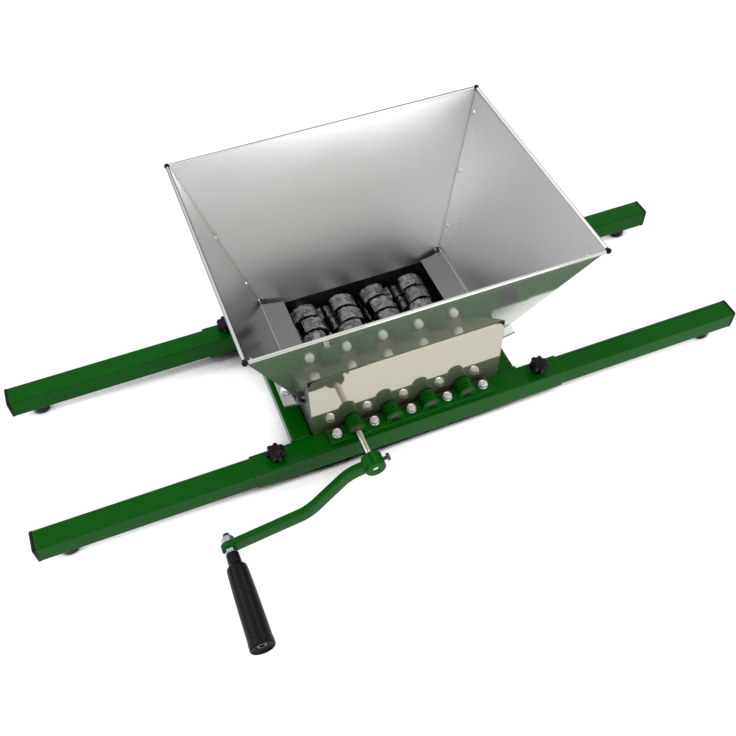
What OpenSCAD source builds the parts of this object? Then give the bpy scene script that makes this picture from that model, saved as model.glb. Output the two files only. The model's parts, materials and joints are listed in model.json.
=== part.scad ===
// Hand cranked apple scratter: a sheet steel hopper over four geared crushing rollers,
// on two rails whose arms telescope to span a tub or a press basket.
// X runs along the rails, -Y is the crank side and Z is up. The feet stand on Z = 0.

/* [Rails] */
// Distance between the centre lines of the two rails
rail_pitch = 215.3; // [190:0.1:280]
// Length of each fixed rail tube
rail_len = 406; // [390:1:470]
// Wall of the fixed rail tube
rail_wall = 1; // [0.8:0.1:2]
// Side of the square arm tube that slides in the rail
arm_side = 26.5; // [23:0.5:32]
// Wall of the arm tube
arm_wall = 1.5; // [1:0.1:2.5]
// Gap between an arm and the inside of its rail
arm_clearance = 0.25; // [0.2:0.05:1]
// Length of each arm tube
arm_len = 313; // [290:1:315]
// Length over the end caps, as the arms are drawn out
overall_len = 921; // [880:1:960]
// Side of the square cross members
crossbar_side = 25; // [18:0.5:28]
// Wall of the cross members
crossbar_wall = 2; // [1.2:0.1:3]
// Radius inside the corners of every square tube
inner_corner = 0.5; // [0.3:0.1:1]

/* [Arm ends and feet] */
// Thickness of the visible plate of an end cap
cap_plate = 4; // [2:0.1:6]
// How far the plate stands out round the tube
cap_lip = 0.5; // [0:0.1:1]
// Depth of the end cap's plug in the tube
cap_plug = 14; // [8:1:25]
// Wall of the end cap's plug
cap_wall = 1.8; // [1.2:0.1:3]
// Height of a foot under its arm
foot_h = 16; // [12:0.5:30]
// Diameter of a foot
foot_d = 18; // [14:0.5:24]
// Distance from the end of the cap to the foot's centre
foot_inset = 33.7; // [20:0.1:60]
// Diameter of the stem that holds the foot in the arm's floor
foot_stem_d = 8; // [6:0.5:10]

/* [Clamping knobs] */
// Distance from the rail's end to the knob's centre
knob_inset = 31; // [22:0.5:40]
// Diameter over the knob's lobes
knob_d = 24; // [20:0.5:30]
// Height of the lobed head
knob_head_h = 12; // [9:0.5:16]
// Height of the round neck under the head
knob_neck_h = 5; // [3:0.5:8]
// Number of lobes
knob_lobes = 7; // [5:1:9]
// Diameter of the clamping stud
stud_d = 8; // [6:1:10]

/* [Throat] */
// Width over the throat's two side walls
throat_w = 246; // [232:1:290]
// Thickness of the stainless sheet
sheet = 1; // [0.8:0.1:1.5]
// How far the throat plates stand outside the rails' inner faces
plate_lap = 0.6; // [0.5:0.1:2.5]
// Corner radius at the top of the throat plates
plate_corner = 12; // [6:1:16]
// Height of the side walls' lower edge over the rails' underside
wall_lift = 3; // [1:0.5:8]

/* [Rollers] */
// Distance between neighbouring roller shafts
roller_pitch = 48; // [44:0.5:54]
// Number of crushing wheels on a shaft
wheel_count = 7; // [5:1:9]
// Gap between the wheel tips of neighbouring rollers
wheel_tip_gap = 1.2; // [0.8:0.1:3]
// Radius of a crushing wheel's hub
wheel_hub_r = 12; // [10:0.5:14]
// Groove between the toothed parts of two wheels on one shaft
wheel_groove = 4; // [2:0.5:8]
// Space between the bushes and the end wheels
roller_end_gap = 9.5; // [3:0.5:14]
// Diameter of the shaft journals
shaft_d = 8.5; // [8:0.5:11]
// Width across the flats of the shaft's hexagon
shaft_hex = 12; // [11.5:0.5:14]
// Height of the shafts over the rails
shaft_rise = 10.25; // [9.5:0.05:12]

/* [Gears] */
// Teeth on each of the four equal gears
gear_teeth = 24; // [18:2:30]
// Width of the gear rim
gear_w = 10; // [6:0.5:14]
// Play between meshing teeth, measured on the pitch circle
gear_play = 0.3; // [0.2:0.05:0.6]
// Depth of the driving flat on a shaft
flat_depth = 1; // [0.6:0.1:1.6]

/* [Bearing strips] */
// Width of a bearing strip's lands, along the shafts
strip_w = 18.5; // [16:0.5:21]
// Distance from the throat plate to a strip's lands
strip_set = 5.25; // [4:0.25:6]
// Distance from the lands' inner edge to the bolts
strip_bolt_set = 7.75; // [6.5:0.25:9]
// Thickness of the strip's bolted lands
strip_land = 4.5; // [3.5:0.1:6]
// Outer radius of the humps over the shafts
hump_r = 10.5; // [9.5:0.5:12]
// How far the humps stand out behind the lands
hump_reach = 2.7; // [1:0.1:3.5]
// How far the humps' outer faces stand back from the lands' edge
hump_back = 4; // [1:0.5:6]
// Length of strip beyond the end bolts
strip_end = 10; // [8:0.5:12]
// Radius of the fillet between a hump and its land
hump_fillet = 2.5; // [1:0.5:3]
// Wall of the bushes
bush_wall = 2; // [1.5:0.1:2.5]
// Diameter of the oil holes
oil_hole_d = 3; // [2:0.5:4]

/* [Hopper] */
// Width over the rim, along the rails
rim_w = 391; // [360:1:460]
// Depth over the rim, across the rails
rim_d = 313; // [300:1:380]
// Height of the rim's bead over the hopper's seat
hopper_h = 192.5; // [150:0.5:260]
// Radius of the bead round the rim
bead_r = 2; // [1.5:0.1:3]
// Radius of the black caps on the rim's corners
rim_cap_r = 3.2; // [3:0.1:6]
// Distance from the throat's wall to the hopper's mouth, at the sides
mouth_margin = 2.5; // [1.5:0.1:6]
// Distance from the front throat plate back to the mouth
mouth_front_shelf = 23.75; // [16:0.25:30]
// Distance from the rear throat plate out to the mouth
mouth_rear_reach = 2.25; // [1.5:0.25:4]
// Height of the seat over the wheels' tips
seat_lift = 15.6; // [12:0.1:24]
// Tilt of the guards and seat flanges
guard_tilt = 12; // [6:1:16]
// Width of the hopper's seat flange
seat_flange_w = 23; // [20:0.5:26]
// Length of the guards in front of the centre line
guard_front = 79; // [74:1:84]
// Length of the guards behind the centre line
guard_rear = 88; // [78:1:89]
// Width of the seam flanges that the rivets go through
seam_flange_w = 16; // [12:0.5:22]
// Distance between the rivets of a seam, up the wall
rivet_pitch = 68; // [40:1:72]

/* [Crank] */
// Distance from the shaft to the grip
crank_r = 186; // [160:1:200]
// Angle of the crank below the horizontal, as it rests
crank_drop = 9.5; // [0:0.5:10]
// Diameter of the crank's hub
crank_hub_d = 25.5; // [23:0.5:32]
// Length of the crank's hub
crank_hub_len = 19; // [16:0.5:30]
// Distance from the bearing strip to the hub
crank_hub_gap = 36.5; // [25:0.5:50]
// Height of the crank's bar
crank_bar_h = 19.5; // [14:0.5:22]
// Thickness of the crank's bar
crank_bar_t = 7.5; // [5:0.5:9]
// Offset of the bar's outer end from the hub's middle
crank_offset = 23.5; // [16:0.5:32]
// Radius of the two bends, on the bar's centre line
crank_bend_r = 60; // [30:1:70]
// Turn of each bend
crank_bend = 22; // [20:1:30]
// Straight length from the shaft to the first bend
crank_root = 20; // [16:1:40]

/* [Grip] */
// Length of the grip
grip_len = 116; // [95:1:130]
// Diameter of the grip's neck
grip_neck_d = 15; // [14.5:0.5:18]
// Length of the neck
grip_neck_len = 15; // [10:0.5:20]
// Diameter at the shoulder
grip_shoulder_d = 24; // [19:0.5:25]
// Diameter of the body where the outer rim begins
grip_body_d = 27; // [25:0.5:30]
// How far the body swells between shoulder and rim
grip_belly = 1; // [0:0.1:2]
// Diameter of the rim at the outer end
grip_end_d = 28.5; // [26:0.5:34]
// Diameter of the grip's bolt
grip_bolt_d = 8; // [6:0.5:9]

/* [Fasteners] */
// Diameter of the hexagon bolts
bolt_d = 6; // [5:0.5:6]
// Width across the flats of their heads and nuts
bolt_flats = 10; // [8:0.5:10]
// Height of a bolt head
bolt_head_h = 4; // [3:0.5:5]
// Diameter of the washers
washer_d = 12; // [11:0.5:13]
// Thickness of the washers
washer_t = 1.2; // [0.8:0.1:1.6]
// Height of a nut
nut_h = 5; // [4:0.5:6]

/* [Hidden] */
$fn = 48;

paint_green = [0.02, 0.34, 0.07];
stainless = [0.76, 0.77, 0.78];
cast_grey = [0.36, 0.36, 0.37];
zinc_white = [0.88, 0.89, 0.90];
bright_steel = [0.70, 0.70, 0.71];
bronze = [0.70, 0.50, 0.25];
black_plastic = [0.05, 0.05, 0.055];

// One overrun for every cut
cut = 1;
// Gap between neighbouring sheets, and between a loose piece and what it clears
sheet_gap = 0.1;
clear = 0.3;
// Radial clearance of shafts, studs and the grip in their bores
running = 0.05;
// Radial clearance of pieces pressed or screwed together
snug = 0.02;

// Rails and arms
rail_side = arm_side + 2 * arm_clearance + 2 * rail_wall;
rail_y = rail_pitch / 2;
arm_z = foot_h + arm_side / 2;
rail_top = arm_z + rail_side / 2;
rail_bottom = arm_z - rail_side / 2;
rail_in_y = rail_y - rail_side / 2;
arm_end_x = overall_len / 2 - cap_plate;
foot_x = overall_len / 2 - foot_inset;
cap_edge = 1;
foot_round = 4;
foot_stem_len = 4;
knob_x = rail_len / 2 - knob_inset;

// Knob proportions
knob_lift = 1;
knob_neck_d = knob_d * 0.58;
knob_core_share = 0.80;
knob_lobe_share = 0.27;
knob_dome_r = knob_d * 0.95;
stud_tip_z = arm_z + arm_side / 2 + clear;
stud_grip = knob_head_h * 0.6;

// Throat
throat_half = throat_w / 2;
wall_in = throat_half - sheet;
plate_in = rail_in_y + plate_lap;
plate_half = throat_half - sheet;

// Rollers, numbered from the crank's side of the rails
roller_count = 4;
roller_x = [for (i = [0 : roller_count - 1]) (i - (roller_count - 1) / 2) * roller_pitch];
shaft_z = rail_top + shaft_rise;
shaft_r = shaft_d / 2;
wheel_r = (roller_pitch - wheel_tip_gap) / 2;
strip_in = plate_in + strip_set;
strip_out = strip_in + strip_w;
bolt_y = strip_in + strip_bolt_set;
hump_in = strip_in - hump_reach;
hump_out = strip_out - hump_back;
bush_in = rail_in_y + clear;
bush_r = shaft_r + running + bush_wall;
hex_end = bush_in - clear;
wheel_pitch = 2 * (bush_in - roller_end_gap) / wheel_count;
wheel_claws = 3;
claw_dome = 15;
claw_crown = 55;
claw_ridges = 4;
ridge_depth = 1;
// Finger, dome and heel of a claw, as angle and share of the wheel's radius
claw_finger_shares = [[6, 0.62], [-4, 0.745], [-12, 0.80], [-24, 0.84], [-34, 0.865],
    [-34.5, 0.89], [-34, 0.915], [-24, 0.955], [-12, 0.985]];
claw_dome_shares = [[-5, 1], [0, 1], [5, 1], [10, 1]];
claw_heel_shares = [[57, 0.96], [60, 0.86], [62, 0.62]];
claw_root_share = 0.45;
// One ridge of the crown: where its top ends and its groove lies, as shares of its pitch
ridge_shares = [0, 0.62, 0.74, 0.90];
// Turn of each wheel on each shaft from the front, as a share of the step between claws
wheel_turn_shares = [
    [0.62, 0.88, 0.40, 0.70, 0.29, 0.03, 0.22], [0.35, 0.60, 0.95, 0.50, 0.03, 0.29, 0.21],
    [0.45, 0.75, 0.15, 0.90, 0.04, 0.08, 0.23], [0.80, 0.25, 0.65, 0.45, 0.10, 0.27, 0.23]];

// Gears
gear_module = roller_pitch / gear_teeth;
gear_pressure = 20;
gear_flank_steps = 5;
gear_gap = 1.75;
gear_y = rail_y + rail_side / 2 + gear_gap;
sleeve_r = shaft_r * 1.7;
sleeve_gap = 0.5;
shaft_rear_y = gear_y + gear_w + 1.5 * flat_depth;

// Bearing strips
strip_z = rail_top + sheet;
land_z = strip_z + strip_land;
strip_half = roller_count * roller_pitch / 2 + strip_end;
bolt_hole_r = bolt_d / 2 + clear;
bearing_bolt_x = [for (i = [0 : roller_count]) (i - roller_count / 2) * roller_pitch];

// Seat of the hopper: guard and flanges share one tilted plane on each side
seat_z = shaft_z + wheel_r + seat_lift;
seat_x = throat_half + mouth_margin;
seat_out = seat_x + seat_flange_w;
sheet_rise = sheet / cos(guard_tilt);
guard_edge_x = roller_count * roller_pitch / 2;
seat_bolt_x = seat_x + seat_flange_w * 0.66;
seat_mid_y = (guard_rear - guard_front) / 2;
seat_bolt_pitch = (guard_rear + guard_front) * 0.37;
function guard_z(x) = seat_z + (x - seat_x) * tan(guard_tilt);

// Hopper walls: half sizes of the mouth and of the rim, and the slopes between them
bead_z = seat_z + hopper_h;
rim_half_x = rim_w / 2 - 2 * bead_r;
// The beads stop just short of the caps on the corners
bead_stop = rim_cap_r + clear - bead_r;
rim_half_y = rim_d / 2 - 2 * bead_r;
side_slope = (rim_half_x - seat_x) / hopper_h;
mouth_front = plate_in - mouth_front_shelf;
mouth_rear = plate_in + mouth_rear_reach;
front_slope = (rim_half_y - mouth_front) / hopper_h;
rear_slope = (rim_half_y - mouth_rear) / hopper_h;
side_lean = atan(side_slope);
function end_mouth(sy) = sy < 0 ? mouth_front : mouth_rear;
function end_slope(sy) = sy < 0 ? front_slope : rear_slope;
function end_skin(sy) = sheet * sqrt(1 + pow(end_slope(sy), 2));
function side_x(z) = seat_x + side_slope * (z - seat_z);
function end_y(sy, z) = end_mouth(sy) + end_slope(sy) * (z - seat_z);
// Height at which an end wall's outer face comes down to a distance from the centre line
function end_z(sy, y) = seat_z + (y - end_skin(sy) - clear - end_mouth(sy)) / end_slope(sy);
far = rim_w + rim_d + hopper_h;
seam_base = 8;
tongue_half = wall_in - 2 * sheet;
tongue_z = end_z(1, plate_in) - 1.2 * sheet;
rivet_r = 1.6;
rivet_head_r = 3;
rivet_head_h = 1.3;
rivet_z = [for (k = [-1 : 1]) seat_z + hopper_h * 0.53 + k * rivet_pitch];
rivet_inset = seam_flange_w / 2;

// Crank, worked out in its own plane: u away from the shaft, v along the shaft
hub_near = strip_out + crank_hub_gap;
hub_far = hub_near + crank_hub_len;
hub_mid = (hub_near + hub_far) / 2;
bar_y = hub_mid + crank_offset;
hub_chamfer = 1.5;
bend_rise = crank_bend_r * (1 - cos(crank_bend));
bend_run = crank_bend_r * sin(crank_bend);
// Each bend runs this much further into the straights, in degrees
bend_lap = 1;
bar_slant = (crank_offset - 2 * bend_rise) / sin(crank_bend);
bend_end = crank_root + 2 * bend_run + bar_slant * cos(crank_bend);
set_screw_d = 5;
set_screw_flats = 8;
set_screw_head = 4;
set_screw_stand = 4;

// Grip and its bolt
jam_nut_h = 6;
grip_flats = 13;
back_nut_h = 8;
bolt_tail = 5;
front_nut_y = bar_y + crank_bar_t / 2;
grip_near = front_nut_y + jam_nut_h + clear;
grip_far = grip_near + grip_len;
grip_shoulder = 2.5;
grip_edge = 2;
grip_rim_len = 10;
grip_steps = 16;
grip_body_y = grip_near + grip_neck_len + grip_shoulder;
grip_rim_y = grip_far - grip_rim_len;
// Radius of the grip's body, at a share of the way from its shoulder to its rim
function grip_body_r(s) = (grip_shoulder_d + (grip_body_d - grip_shoulder_d) * s) / 2
    + grip_belly * sin(180 * sqrt(s));
grip_head_d = grip_bolt_d * 1.6;
grip_recess = 10;
grip_head_h = grip_bolt_d * 0.8;
socket_share = 0.45;

// The origin lies under the middle of the bounding box
rim_back = rim_d / 2 - bead_r + rim_cap_r;
frame_y = (grip_far - rim_back) / 2;

// Placing and profile helpers

// Puts the rails' middle plane where the origin asks for it
module placed() translate([0, frame_y, 0]) children();
// Makes the left piece from the right one, and the front piece from the rear one
module hand(sx) mirror([sx < 0 ? 1 : 0, 0, 0]) children();
module side(sy) mirror([0, sy < 0 ? 1 : 0, 0]) children();
// Carries a profile drawn in X and Z along Y
module along_y(y0, y1) translate([0, y1, 0]) rotate([90, 0, 0]) linear_extrude(y1 - y0) children();
// Carries a profile drawn in Y and Z along X
module along_x(x0, x1) translate([x0, 0, 0]) rotate([90, 0, 90]) linear_extrude(x1 - x0) children();
// Stands children up on a shaft's axis, with their own Z along Y
module on_shaft(x) translate([x, 0, shaft_z]) rotate([-90, 0, 0]) children();

module round_rect(w, h, r) {
    square([w - 2 * r, h], center = true);
    square([w, h - 2 * r], center = true);
    for (sx = [-1, 1], sy = [-1, 1])
        translate([sx * (w / 2 - r), sy * (h / 2 - r)]) circle(r);
}
module box_tube(side, wall) difference() {
    round_rect(side, side, wall + inner_corner);
    round_rect(side - 2 * wall, side - 2 * wall, inner_corner);
}
module hexagon(flats, h) cylinder(d = flats / cos(30), h = h, $fn = 6);
module ring(r_out, r_in, h) difference() {
    cylinder(r = r_out, h = h);
    translate([0, 0, -cut]) cylinder(r = r_in, h = h + 2 * cut);
}

// Rails

module rail(sy) color(paint_green) side(sy) difference() {
    along_x(-rail_len / 2, rail_len / 2) translate([rail_y, arm_z]) box_tube(rail_side, rail_wall);
    for (x = bearing_bolt_x) rail_hole(x, bolt_y, bolt_d / 2 + snug);
    for (sx = [-1, 1]) rail_hole(sx * knob_x, rail_y, stud_d / 2 + running);
}
// A hole through the rail's top wall only
module rail_hole(x, y, r)
    translate([x, y, rail_top - rail_wall - cut]) cylinder(r = r, h = rail_wall + 2 * cut);

module crossbar(sx) color(paint_green) hand(sx)
    along_y(-rail_in_y, rail_in_y)
        translate([throat_half + crossbar_side / 2, rail_top - crossbar_side / 2])
            box_tube(crossbar_side, crossbar_wall);

// Throat

module throat_plate(sy) color(stainless) side(sy) difference() {
    union() {
        along_y(plate_in, plate_in + sheet) plate_outline(end_z(sy, plate_in) - rail_top);
        translate([-strip_half, plate_in, rail_top])
            cube([2 * strip_half, strip_out - plate_in, sheet]);
    }
    for (x = roller_x) on_shaft(x) translate([0, 0, plate_in - cut])
        cylinder(r = bush_r + sheet_gap, h = sheet + 2 * cut);
    for (x = bearing_bolt_x) translate([x, bolt_y, rail_top - cut])
        cylinder(r = bolt_hole_r, h = sheet + 2 * cut);
}
module plate_outline(h) translate([0, rail_top]) {
    translate([-plate_half, 0]) square([2 * plate_half, h - plate_corner]);
    translate([-plate_half + plate_corner, 0]) square([2 * (plate_half - plate_corner), h]);
    for (sx = [-1, 1])
        translate([sx * (plate_half - plate_corner), h - plate_corner]) circle(plate_corner);
}

// A sheet on the seat's tilted plane, from x0 to x1, so many sheets above the guard's top
module seat_strip(x0, x1, level) {
    base = level * sheet_rise;
    polygon([[x0, guard_z(x0) + base], [x1, guard_z(x1) + base],
        [x1, guard_z(x1) + base + sheet_rise], [x0, guard_z(x0) + base + sheet_rise]]);
}
// Places children on the seat's plane at a bolt, with their own Z square to the plane
module at_seat_bolt(k) translate([seat_bolt_x, seat_mid_y + k * seat_bolt_pitch, guard_z(seat_bolt_x)])
    rotate([0, -guard_tilt, 0]) children();
module seat_bolt_holes() for (k = [-1 : 1]) at_seat_bolt(k)
    translate([0, 0, -bolt_d]) cylinder(r = bolt_hole_r, h = 2 * bolt_d);

module throat_wall(sx) color(stainless) hand(sx) difference() {
    wall_top = guard_z(wall_in) - sheet_rise;
    reach = plate_in - sheet_gap;
    ear = guard_front + clear;
    union() {
        translate([wall_in, -rail_in_y + sheet_gap, rail_bottom + wall_lift])
            cube([sheet, 2 * (rail_in_y - sheet_gap), wall_top - rail_bottom - wall_lift]);
        along_x(wall_in, throat_half) polygon([
            [-reach, rail_top + sheet_gap], [reach, rail_top + sheet_gap], [reach, wall_top],
            [-ear, wall_top], [-ear, end_z(-1, ear)], [-reach, end_z(-1, reach)]]);
        along_y(-guard_front, guard_rear) seat_strip(wall_in, seat_out, -2);
    }
    seat_bolt_holes();
}

module guard(sx) color(stainless) hand(sx) difference() {
    along_y(-guard_front, guard_rear) seat_strip(guard_edge_x, seat_out, -1);
    seat_bolt_holes();
}

// Hopper

// Places children on a side wall's inner face, with their own Z pointing out of the hopper
module on_side_wall(sx, y, z)
    translate([sx * side_x(z), y, z]) rotate([0, sx * (90 + side_lean), 0]) children();
module on_end_wall(sy, z)
    translate([0, sy * end_y(sy, z), z]) rotate([-sy * (90 + atan(end_slope(sy))), 0, 0]) children();
module slab(from, to) translate([-far, -far, from]) cube([2 * far, 2 * far, to - from]);
// All space on the hopper's side of both side walls, moved out by a distance
module between_sides(out) intersection_for (sx = [-1, 1]) on_side_wall(sx, 0, seat_z) slab(-far, out);
module band(low, high, half) translate([-half, -far, low]) cube([2 * half, 2 * far, high - low]);
module rivet_places(sx, sy) for (z = rivet_z)
    on_side_wall(sx, sy * (end_y(sy, z) - rivet_inset), z) children();
module rivet_holes() for (sx = [-1, 1], sy = [-1, 1]) rivet_places(sx, sy)
    translate([0, 0, -cut]) cylinder(r = rivet_r + snug, h = 2 * sheet + sheet_gap + 2 * cut);

module hopper_side(sx) color(stainless) difference() {
    union() {
        intersection() {
            on_side_wall(sx, 0, seat_z) slab(0, sheet);
            for_both_ends() slab(-far, -sheet_gap);
            band(seat_z + sheet / 2, bead_z, far);
        }
        translate([sx * (rim_half_x + bead_r), 0, bead_z]) rotate([90, 0, 0])
            cylinder(r = bead_r, h = 2 * (rim_half_y - bead_stop), center = true);
        hand(sx) along_y(-guard_front, guard_rear) seat_strip(seat_x, seat_out, 0);
    }
    hand(sx) seat_bolt_holes();
    rivet_holes();
}
module for_both_ends() intersection_for (sy = [-1, 1]) on_end_wall(sy, seat_z) children();

module hopper_end(sy) color(stainless) difference() {
    union() {
        intersection() {
            on_end_wall(sy, seat_z) slab(0, sheet);
            between_sides(2 * sheet + sheet_gap);
            union() {
                band(seat_z + 2 * sheet, bead_z, far);
                if (sy > 0) band(tongue_z, bead_z, tongue_half);
            }
        }
        for (sx = [-1, 1]) intersection() {
            on_side_wall(sx, 0, seat_z) slab(sheet + sheet_gap, 2 * sheet + sheet_gap);
            on_end_wall(sy, seat_z) slab(-seam_flange_w, sheet);
            band(seat_z + seam_base, bead_z - bead_r - clear, far);
        }
        translate([0, sy * (rim_half_y + bead_r), bead_z]) rotate([0, 90, 0])
            cylinder(r = bead_r, h = 2 * (rim_half_x - bead_stop), center = true);
    }
    rivet_holes();
}

module hopper_rivets() color(zinc_white)
    for (sx = [-1, 1], sy = [-1, 1]) rivet_places(sx, sy) rivet(2 * sheet + sheet_gap);
// A domed head inside the hopper, a shank through both sheets and a flat tail outside
module rivet(grip) {
    dome_r = (pow(rivet_head_r, 2) + pow(rivet_head_h, 2)) / (2 * rivet_head_h);
    intersection() {
        translate([0, 0, dome_r - rivet_head_h]) sphere(dome_r);
        translate([0, 0, -rivet_head_h]) cylinder(r = rivet_head_r, h = rivet_head_h);
    }
    translate([0, 0, -rivet_head_h / 2]) cylinder(r = rivet_r, h = grip + rivet_head_h);
    translate([0, 0, grip]) cylinder(r = rivet_head_r * 0.8, h = rivet_head_h);
}

module rim_corner_caps() color(black_plastic)
    for (sx = [-1, 1], sy = [-1, 1]) difference() {
        translate([sx * (rim_half_x + bead_r), sy * (rim_half_y + bead_r), bead_z]) sphere(rim_cap_r);
        intersection() {
            between_sides(2 * sheet + sheet_gap + clear);
            for_both_ends() slab(-far, sheet + clear);
            translate([-far, -far, bead_z - far]) cube([2 * far, 2 * far, far + clear]);
        }
    }

// Bolts of the seat, and of the bearing strips

// A hexagon bolt with its washer's lower face at Z = 0
module hex_bolt(shank) {
    translate([0, 0, washer_t]) hexagon(bolt_flats, bolt_head_h);
    translate([0, 0, -shank]) cylinder(d = bolt_d, h = shank + washer_t + cut);
}
module washer() ring(washer_d / 2, bolt_d / 2 + snug, washer_t);
module at_seat_top(k) at_seat_bolt(k) translate([0, 0, sheet]) children();
module at_land(sy, x) side(sy) translate([x, bolt_y, land_z]) children();

module hopper_bolts() color(zinc_white) for (sx = [-1, 1], k = [-1 : 1])
    hand(sx) at_seat_top(k) hex_bolt(3 * sheet + nut_h + bolt_d / 4);
module hopper_nuts() color(zinc_white) for (sx = [-1, 1], k = [-1 : 1])
    hand(sx) at_seat_top(k) translate([0, 0, -3 * sheet - nut_h]) difference() {
        hexagon(bolt_flats, nut_h);
        translate([0, 0, -cut]) cylinder(r = bolt_d / 2 + snug, h = nut_h + 2 * cut);
    }
module bearing_bolts() color(zinc_white) for (sy = [-1, 1], x = bearing_bolt_x)
    at_land(sy, x) hex_bolt(strip_land + sheet + rail_wall);
module washers() color(zinc_white) {
    for (sy = [-1, 1], x = bearing_bolt_x) at_land(sy, x) washer();
    for (sx = [-1, 1], k = [-1 : 1]) hand(sx) at_seat_top(k) washer();
}

// Bearing strips

// The concave fillet in the corner where a hump stands on its land
module corner_fillet(x) translate([x, land_z]) difference() {
    square(hump_fillet);
    translate([hump_fillet, hump_fillet]) circle(hump_fillet);
}
module hump(x) {
    translate([x, shaft_z]) circle(hump_r);
    translate([x - hump_r, strip_z]) square([2 * hump_r, shaft_z - strip_z]);
    corner_fillet(x + hump_r);
    translate([2 * x, 0]) mirror([1, 0]) corner_fillet(x + hump_r);
}
module bearing_strip(sy) color(paint_green) side(sy) difference() {
    union() {
        translate([-strip_half, strip_in, strip_z]) cube([2 * strip_half, strip_w, strip_land]);
        along_y(hump_in, hump_out) for (x = roller_x) intersection() {
            hump(x);
            translate([-strip_half, strip_z]) square([2 * strip_half, 2 * hump_r + shaft_rise]);
        }
    }
    for (x = roller_x) along_y(hump_in - cut, hump_out + clear)
        translate([x, shaft_z]) circle(bush_r + snug);
    for (x = roller_x) translate([x, (hump_in + hump_out) / 2, shaft_z + bush_r - cut])
        cylinder(d = oil_hole_d, h = hump_r);
    for (x = bearing_bolt_x) translate([x, bolt_y, strip_z - cut])
        cylinder(r = bolt_hole_r, h = strip_land + 2 * cut);
}
module bearing_bushes() color(bronze) for (sy = [-1, 1], x = roller_x)
    side(sy) on_shaft(x) translate([0, 0, bush_in]) ring(bush_r, shaft_r + running, hump_out - bush_in);

// Arms, end caps and feet

module arm(sx, sy) color(paint_green) hand(sx) side(sy) difference() {
    along_x(arm_end_x - arm_len, arm_end_x) translate([rail_y, arm_z]) box_tube(arm_side, arm_wall);
    translate([foot_x, rail_y, foot_h - cut]) cylinder(d = foot_stem_d, h = arm_wall + 2 * cut);
}
module end_cap(sx, sy) color(black_plastic) hand(sx) side(sy) {
    plate = arm_side + 2 * cap_lip;
    plug = arm_side - 2 * arm_wall - 2 * sheet_gap;
    translate([arm_end_x, rail_y, arm_z]) rotate([90, 0, 90]) {
        linear_extrude(cap_plate - cap_edge) round_rect(plate, plate, arm_wall + inner_corner);
        linear_extrude(cap_plate)
            round_rect(plate - 2 * cap_edge, plate - 2 * cap_edge, arm_wall + inner_corner);
        translate([0, 0, -cap_plug]) linear_extrude(cap_plug) difference() {
            round_rect(plug, plug, inner_corner);
            round_rect(plug - 2 * cap_wall, plug - 2 * cap_wall, inner_corner);
        }
    }
}
module foot(sx, sy) color(black_plastic) hand(sx) side(sy) translate([foot_x, rail_y, 0]) {
    rotate_extrude() {
        translate([0, foot_round]) square([foot_d / 2, foot_h - foot_round]);
        square([foot_d / 2 - foot_round, foot_h]);
        intersection() {
            translate([foot_d / 2 - foot_round, foot_round]) circle(foot_round);
            square([foot_d / 2, foot_h]);
        }
    }
    cylinder(r = foot_stem_d / 2 - snug, h = foot_h + foot_stem_len);
}

// Clamping knobs

module knob(sx, sy) color(black_plastic) hand(sx) side(sy)
    translate([knob_x, rail_y, rail_top + knob_lift]) difference() {
        union() {
            cylinder(d = knob_neck_d, h = knob_neck_h + cut);
            intersection() {
                translate([0, 0, knob_neck_h]) linear_extrude(knob_head_h) knob_outline();
                translate([0, 0, knob_neck_h + knob_head_h - knob_dome_r]) sphere(knob_dome_r);
            }
        }
        translate([0, 0, -cut]) cylinder(r = stud_d / 2 + snug, h = stud_grip + cut);
    }
module knob_outline() {
    core_r = knob_d / 2 * knob_core_share;
    lobe_r = knob_d / 2 * knob_lobe_share;
    circle(core_r);
    for (k = [0 : knob_lobes - 1]) rotate(k * 360 / knob_lobes)
        translate([knob_d / 2 - lobe_r, 0]) circle(lobe_r);
}
module stud(sx, sy) color(bright_steel) hand(sx) side(sy) translate([knob_x, rail_y, stud_tip_z])
    cylinder(d = stud_d, h = rail_top + knob_lift + stud_grip - stud_tip_z);

// Rollers

module shaft(i) color(bright_steel) difference() {
    front = i == 0 ? hub_far - hub_chamfer : hump_out;
    on_shaft(roller_x[i]) {
        translate([0, 0, -front]) cylinder(r = shaft_r, h = front + shaft_rear_y);
        translate([0, 0, -hex_end]) hexagon(shaft_hex, 2 * hex_end);
    }
    translate([roller_x[i] - shaft_r, gear_y, shaft_z + shaft_r - flat_depth])
        cube([2 * shaft_r, shaft_rear_y, shaft_r]);
    if (i == 0) at_crank()
        translate([-2 * shaft_r + flat_depth, -hub_far, -shaft_r])
            cube([shaft_r, crank_hub_len, 2 * shaft_r]);
}

function polar(r, a) = [r * cos(a), r * sin(a)];
// One claw: a thin finger, a smooth dome, a ridged crown and a plain heel
function claw_points() = concat(
    [polar(wheel_r * claw_root_share, claw_finger_shares[0][0])],
    [for (p = claw_finger_shares) polar(wheel_r * p[1], p[0])],
    [for (p = claw_dome_shares) polar(wheel_r * p[1], p[0])],
    [for (k = [0 : claw_ridges - 1], j = [0 : 3]) polar(wheel_r - (j < 2 ? 0 : ridge_depth),
        claw_dome + (k + ridge_shares[j]) * (claw_crown - claw_dome) / claw_ridges)],
    [polar(wheel_r, claw_crown)],
    [for (p = claw_heel_shares) polar(wheel_r * p[1], p[0])],
    [polar(wheel_r * claw_root_share, claw_heel_shares[2][0])]);
module hexagon_bore() translate([0, 0, -wheel_pitch])
    hexagon(shaft_hex + 2 * snug, 2 * wheel_pitch);
function wheel_turn(i, k) = wheel_turn_shares[i][k % len(wheel_turn_shares[i])] * 360 / wheel_claws;
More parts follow.
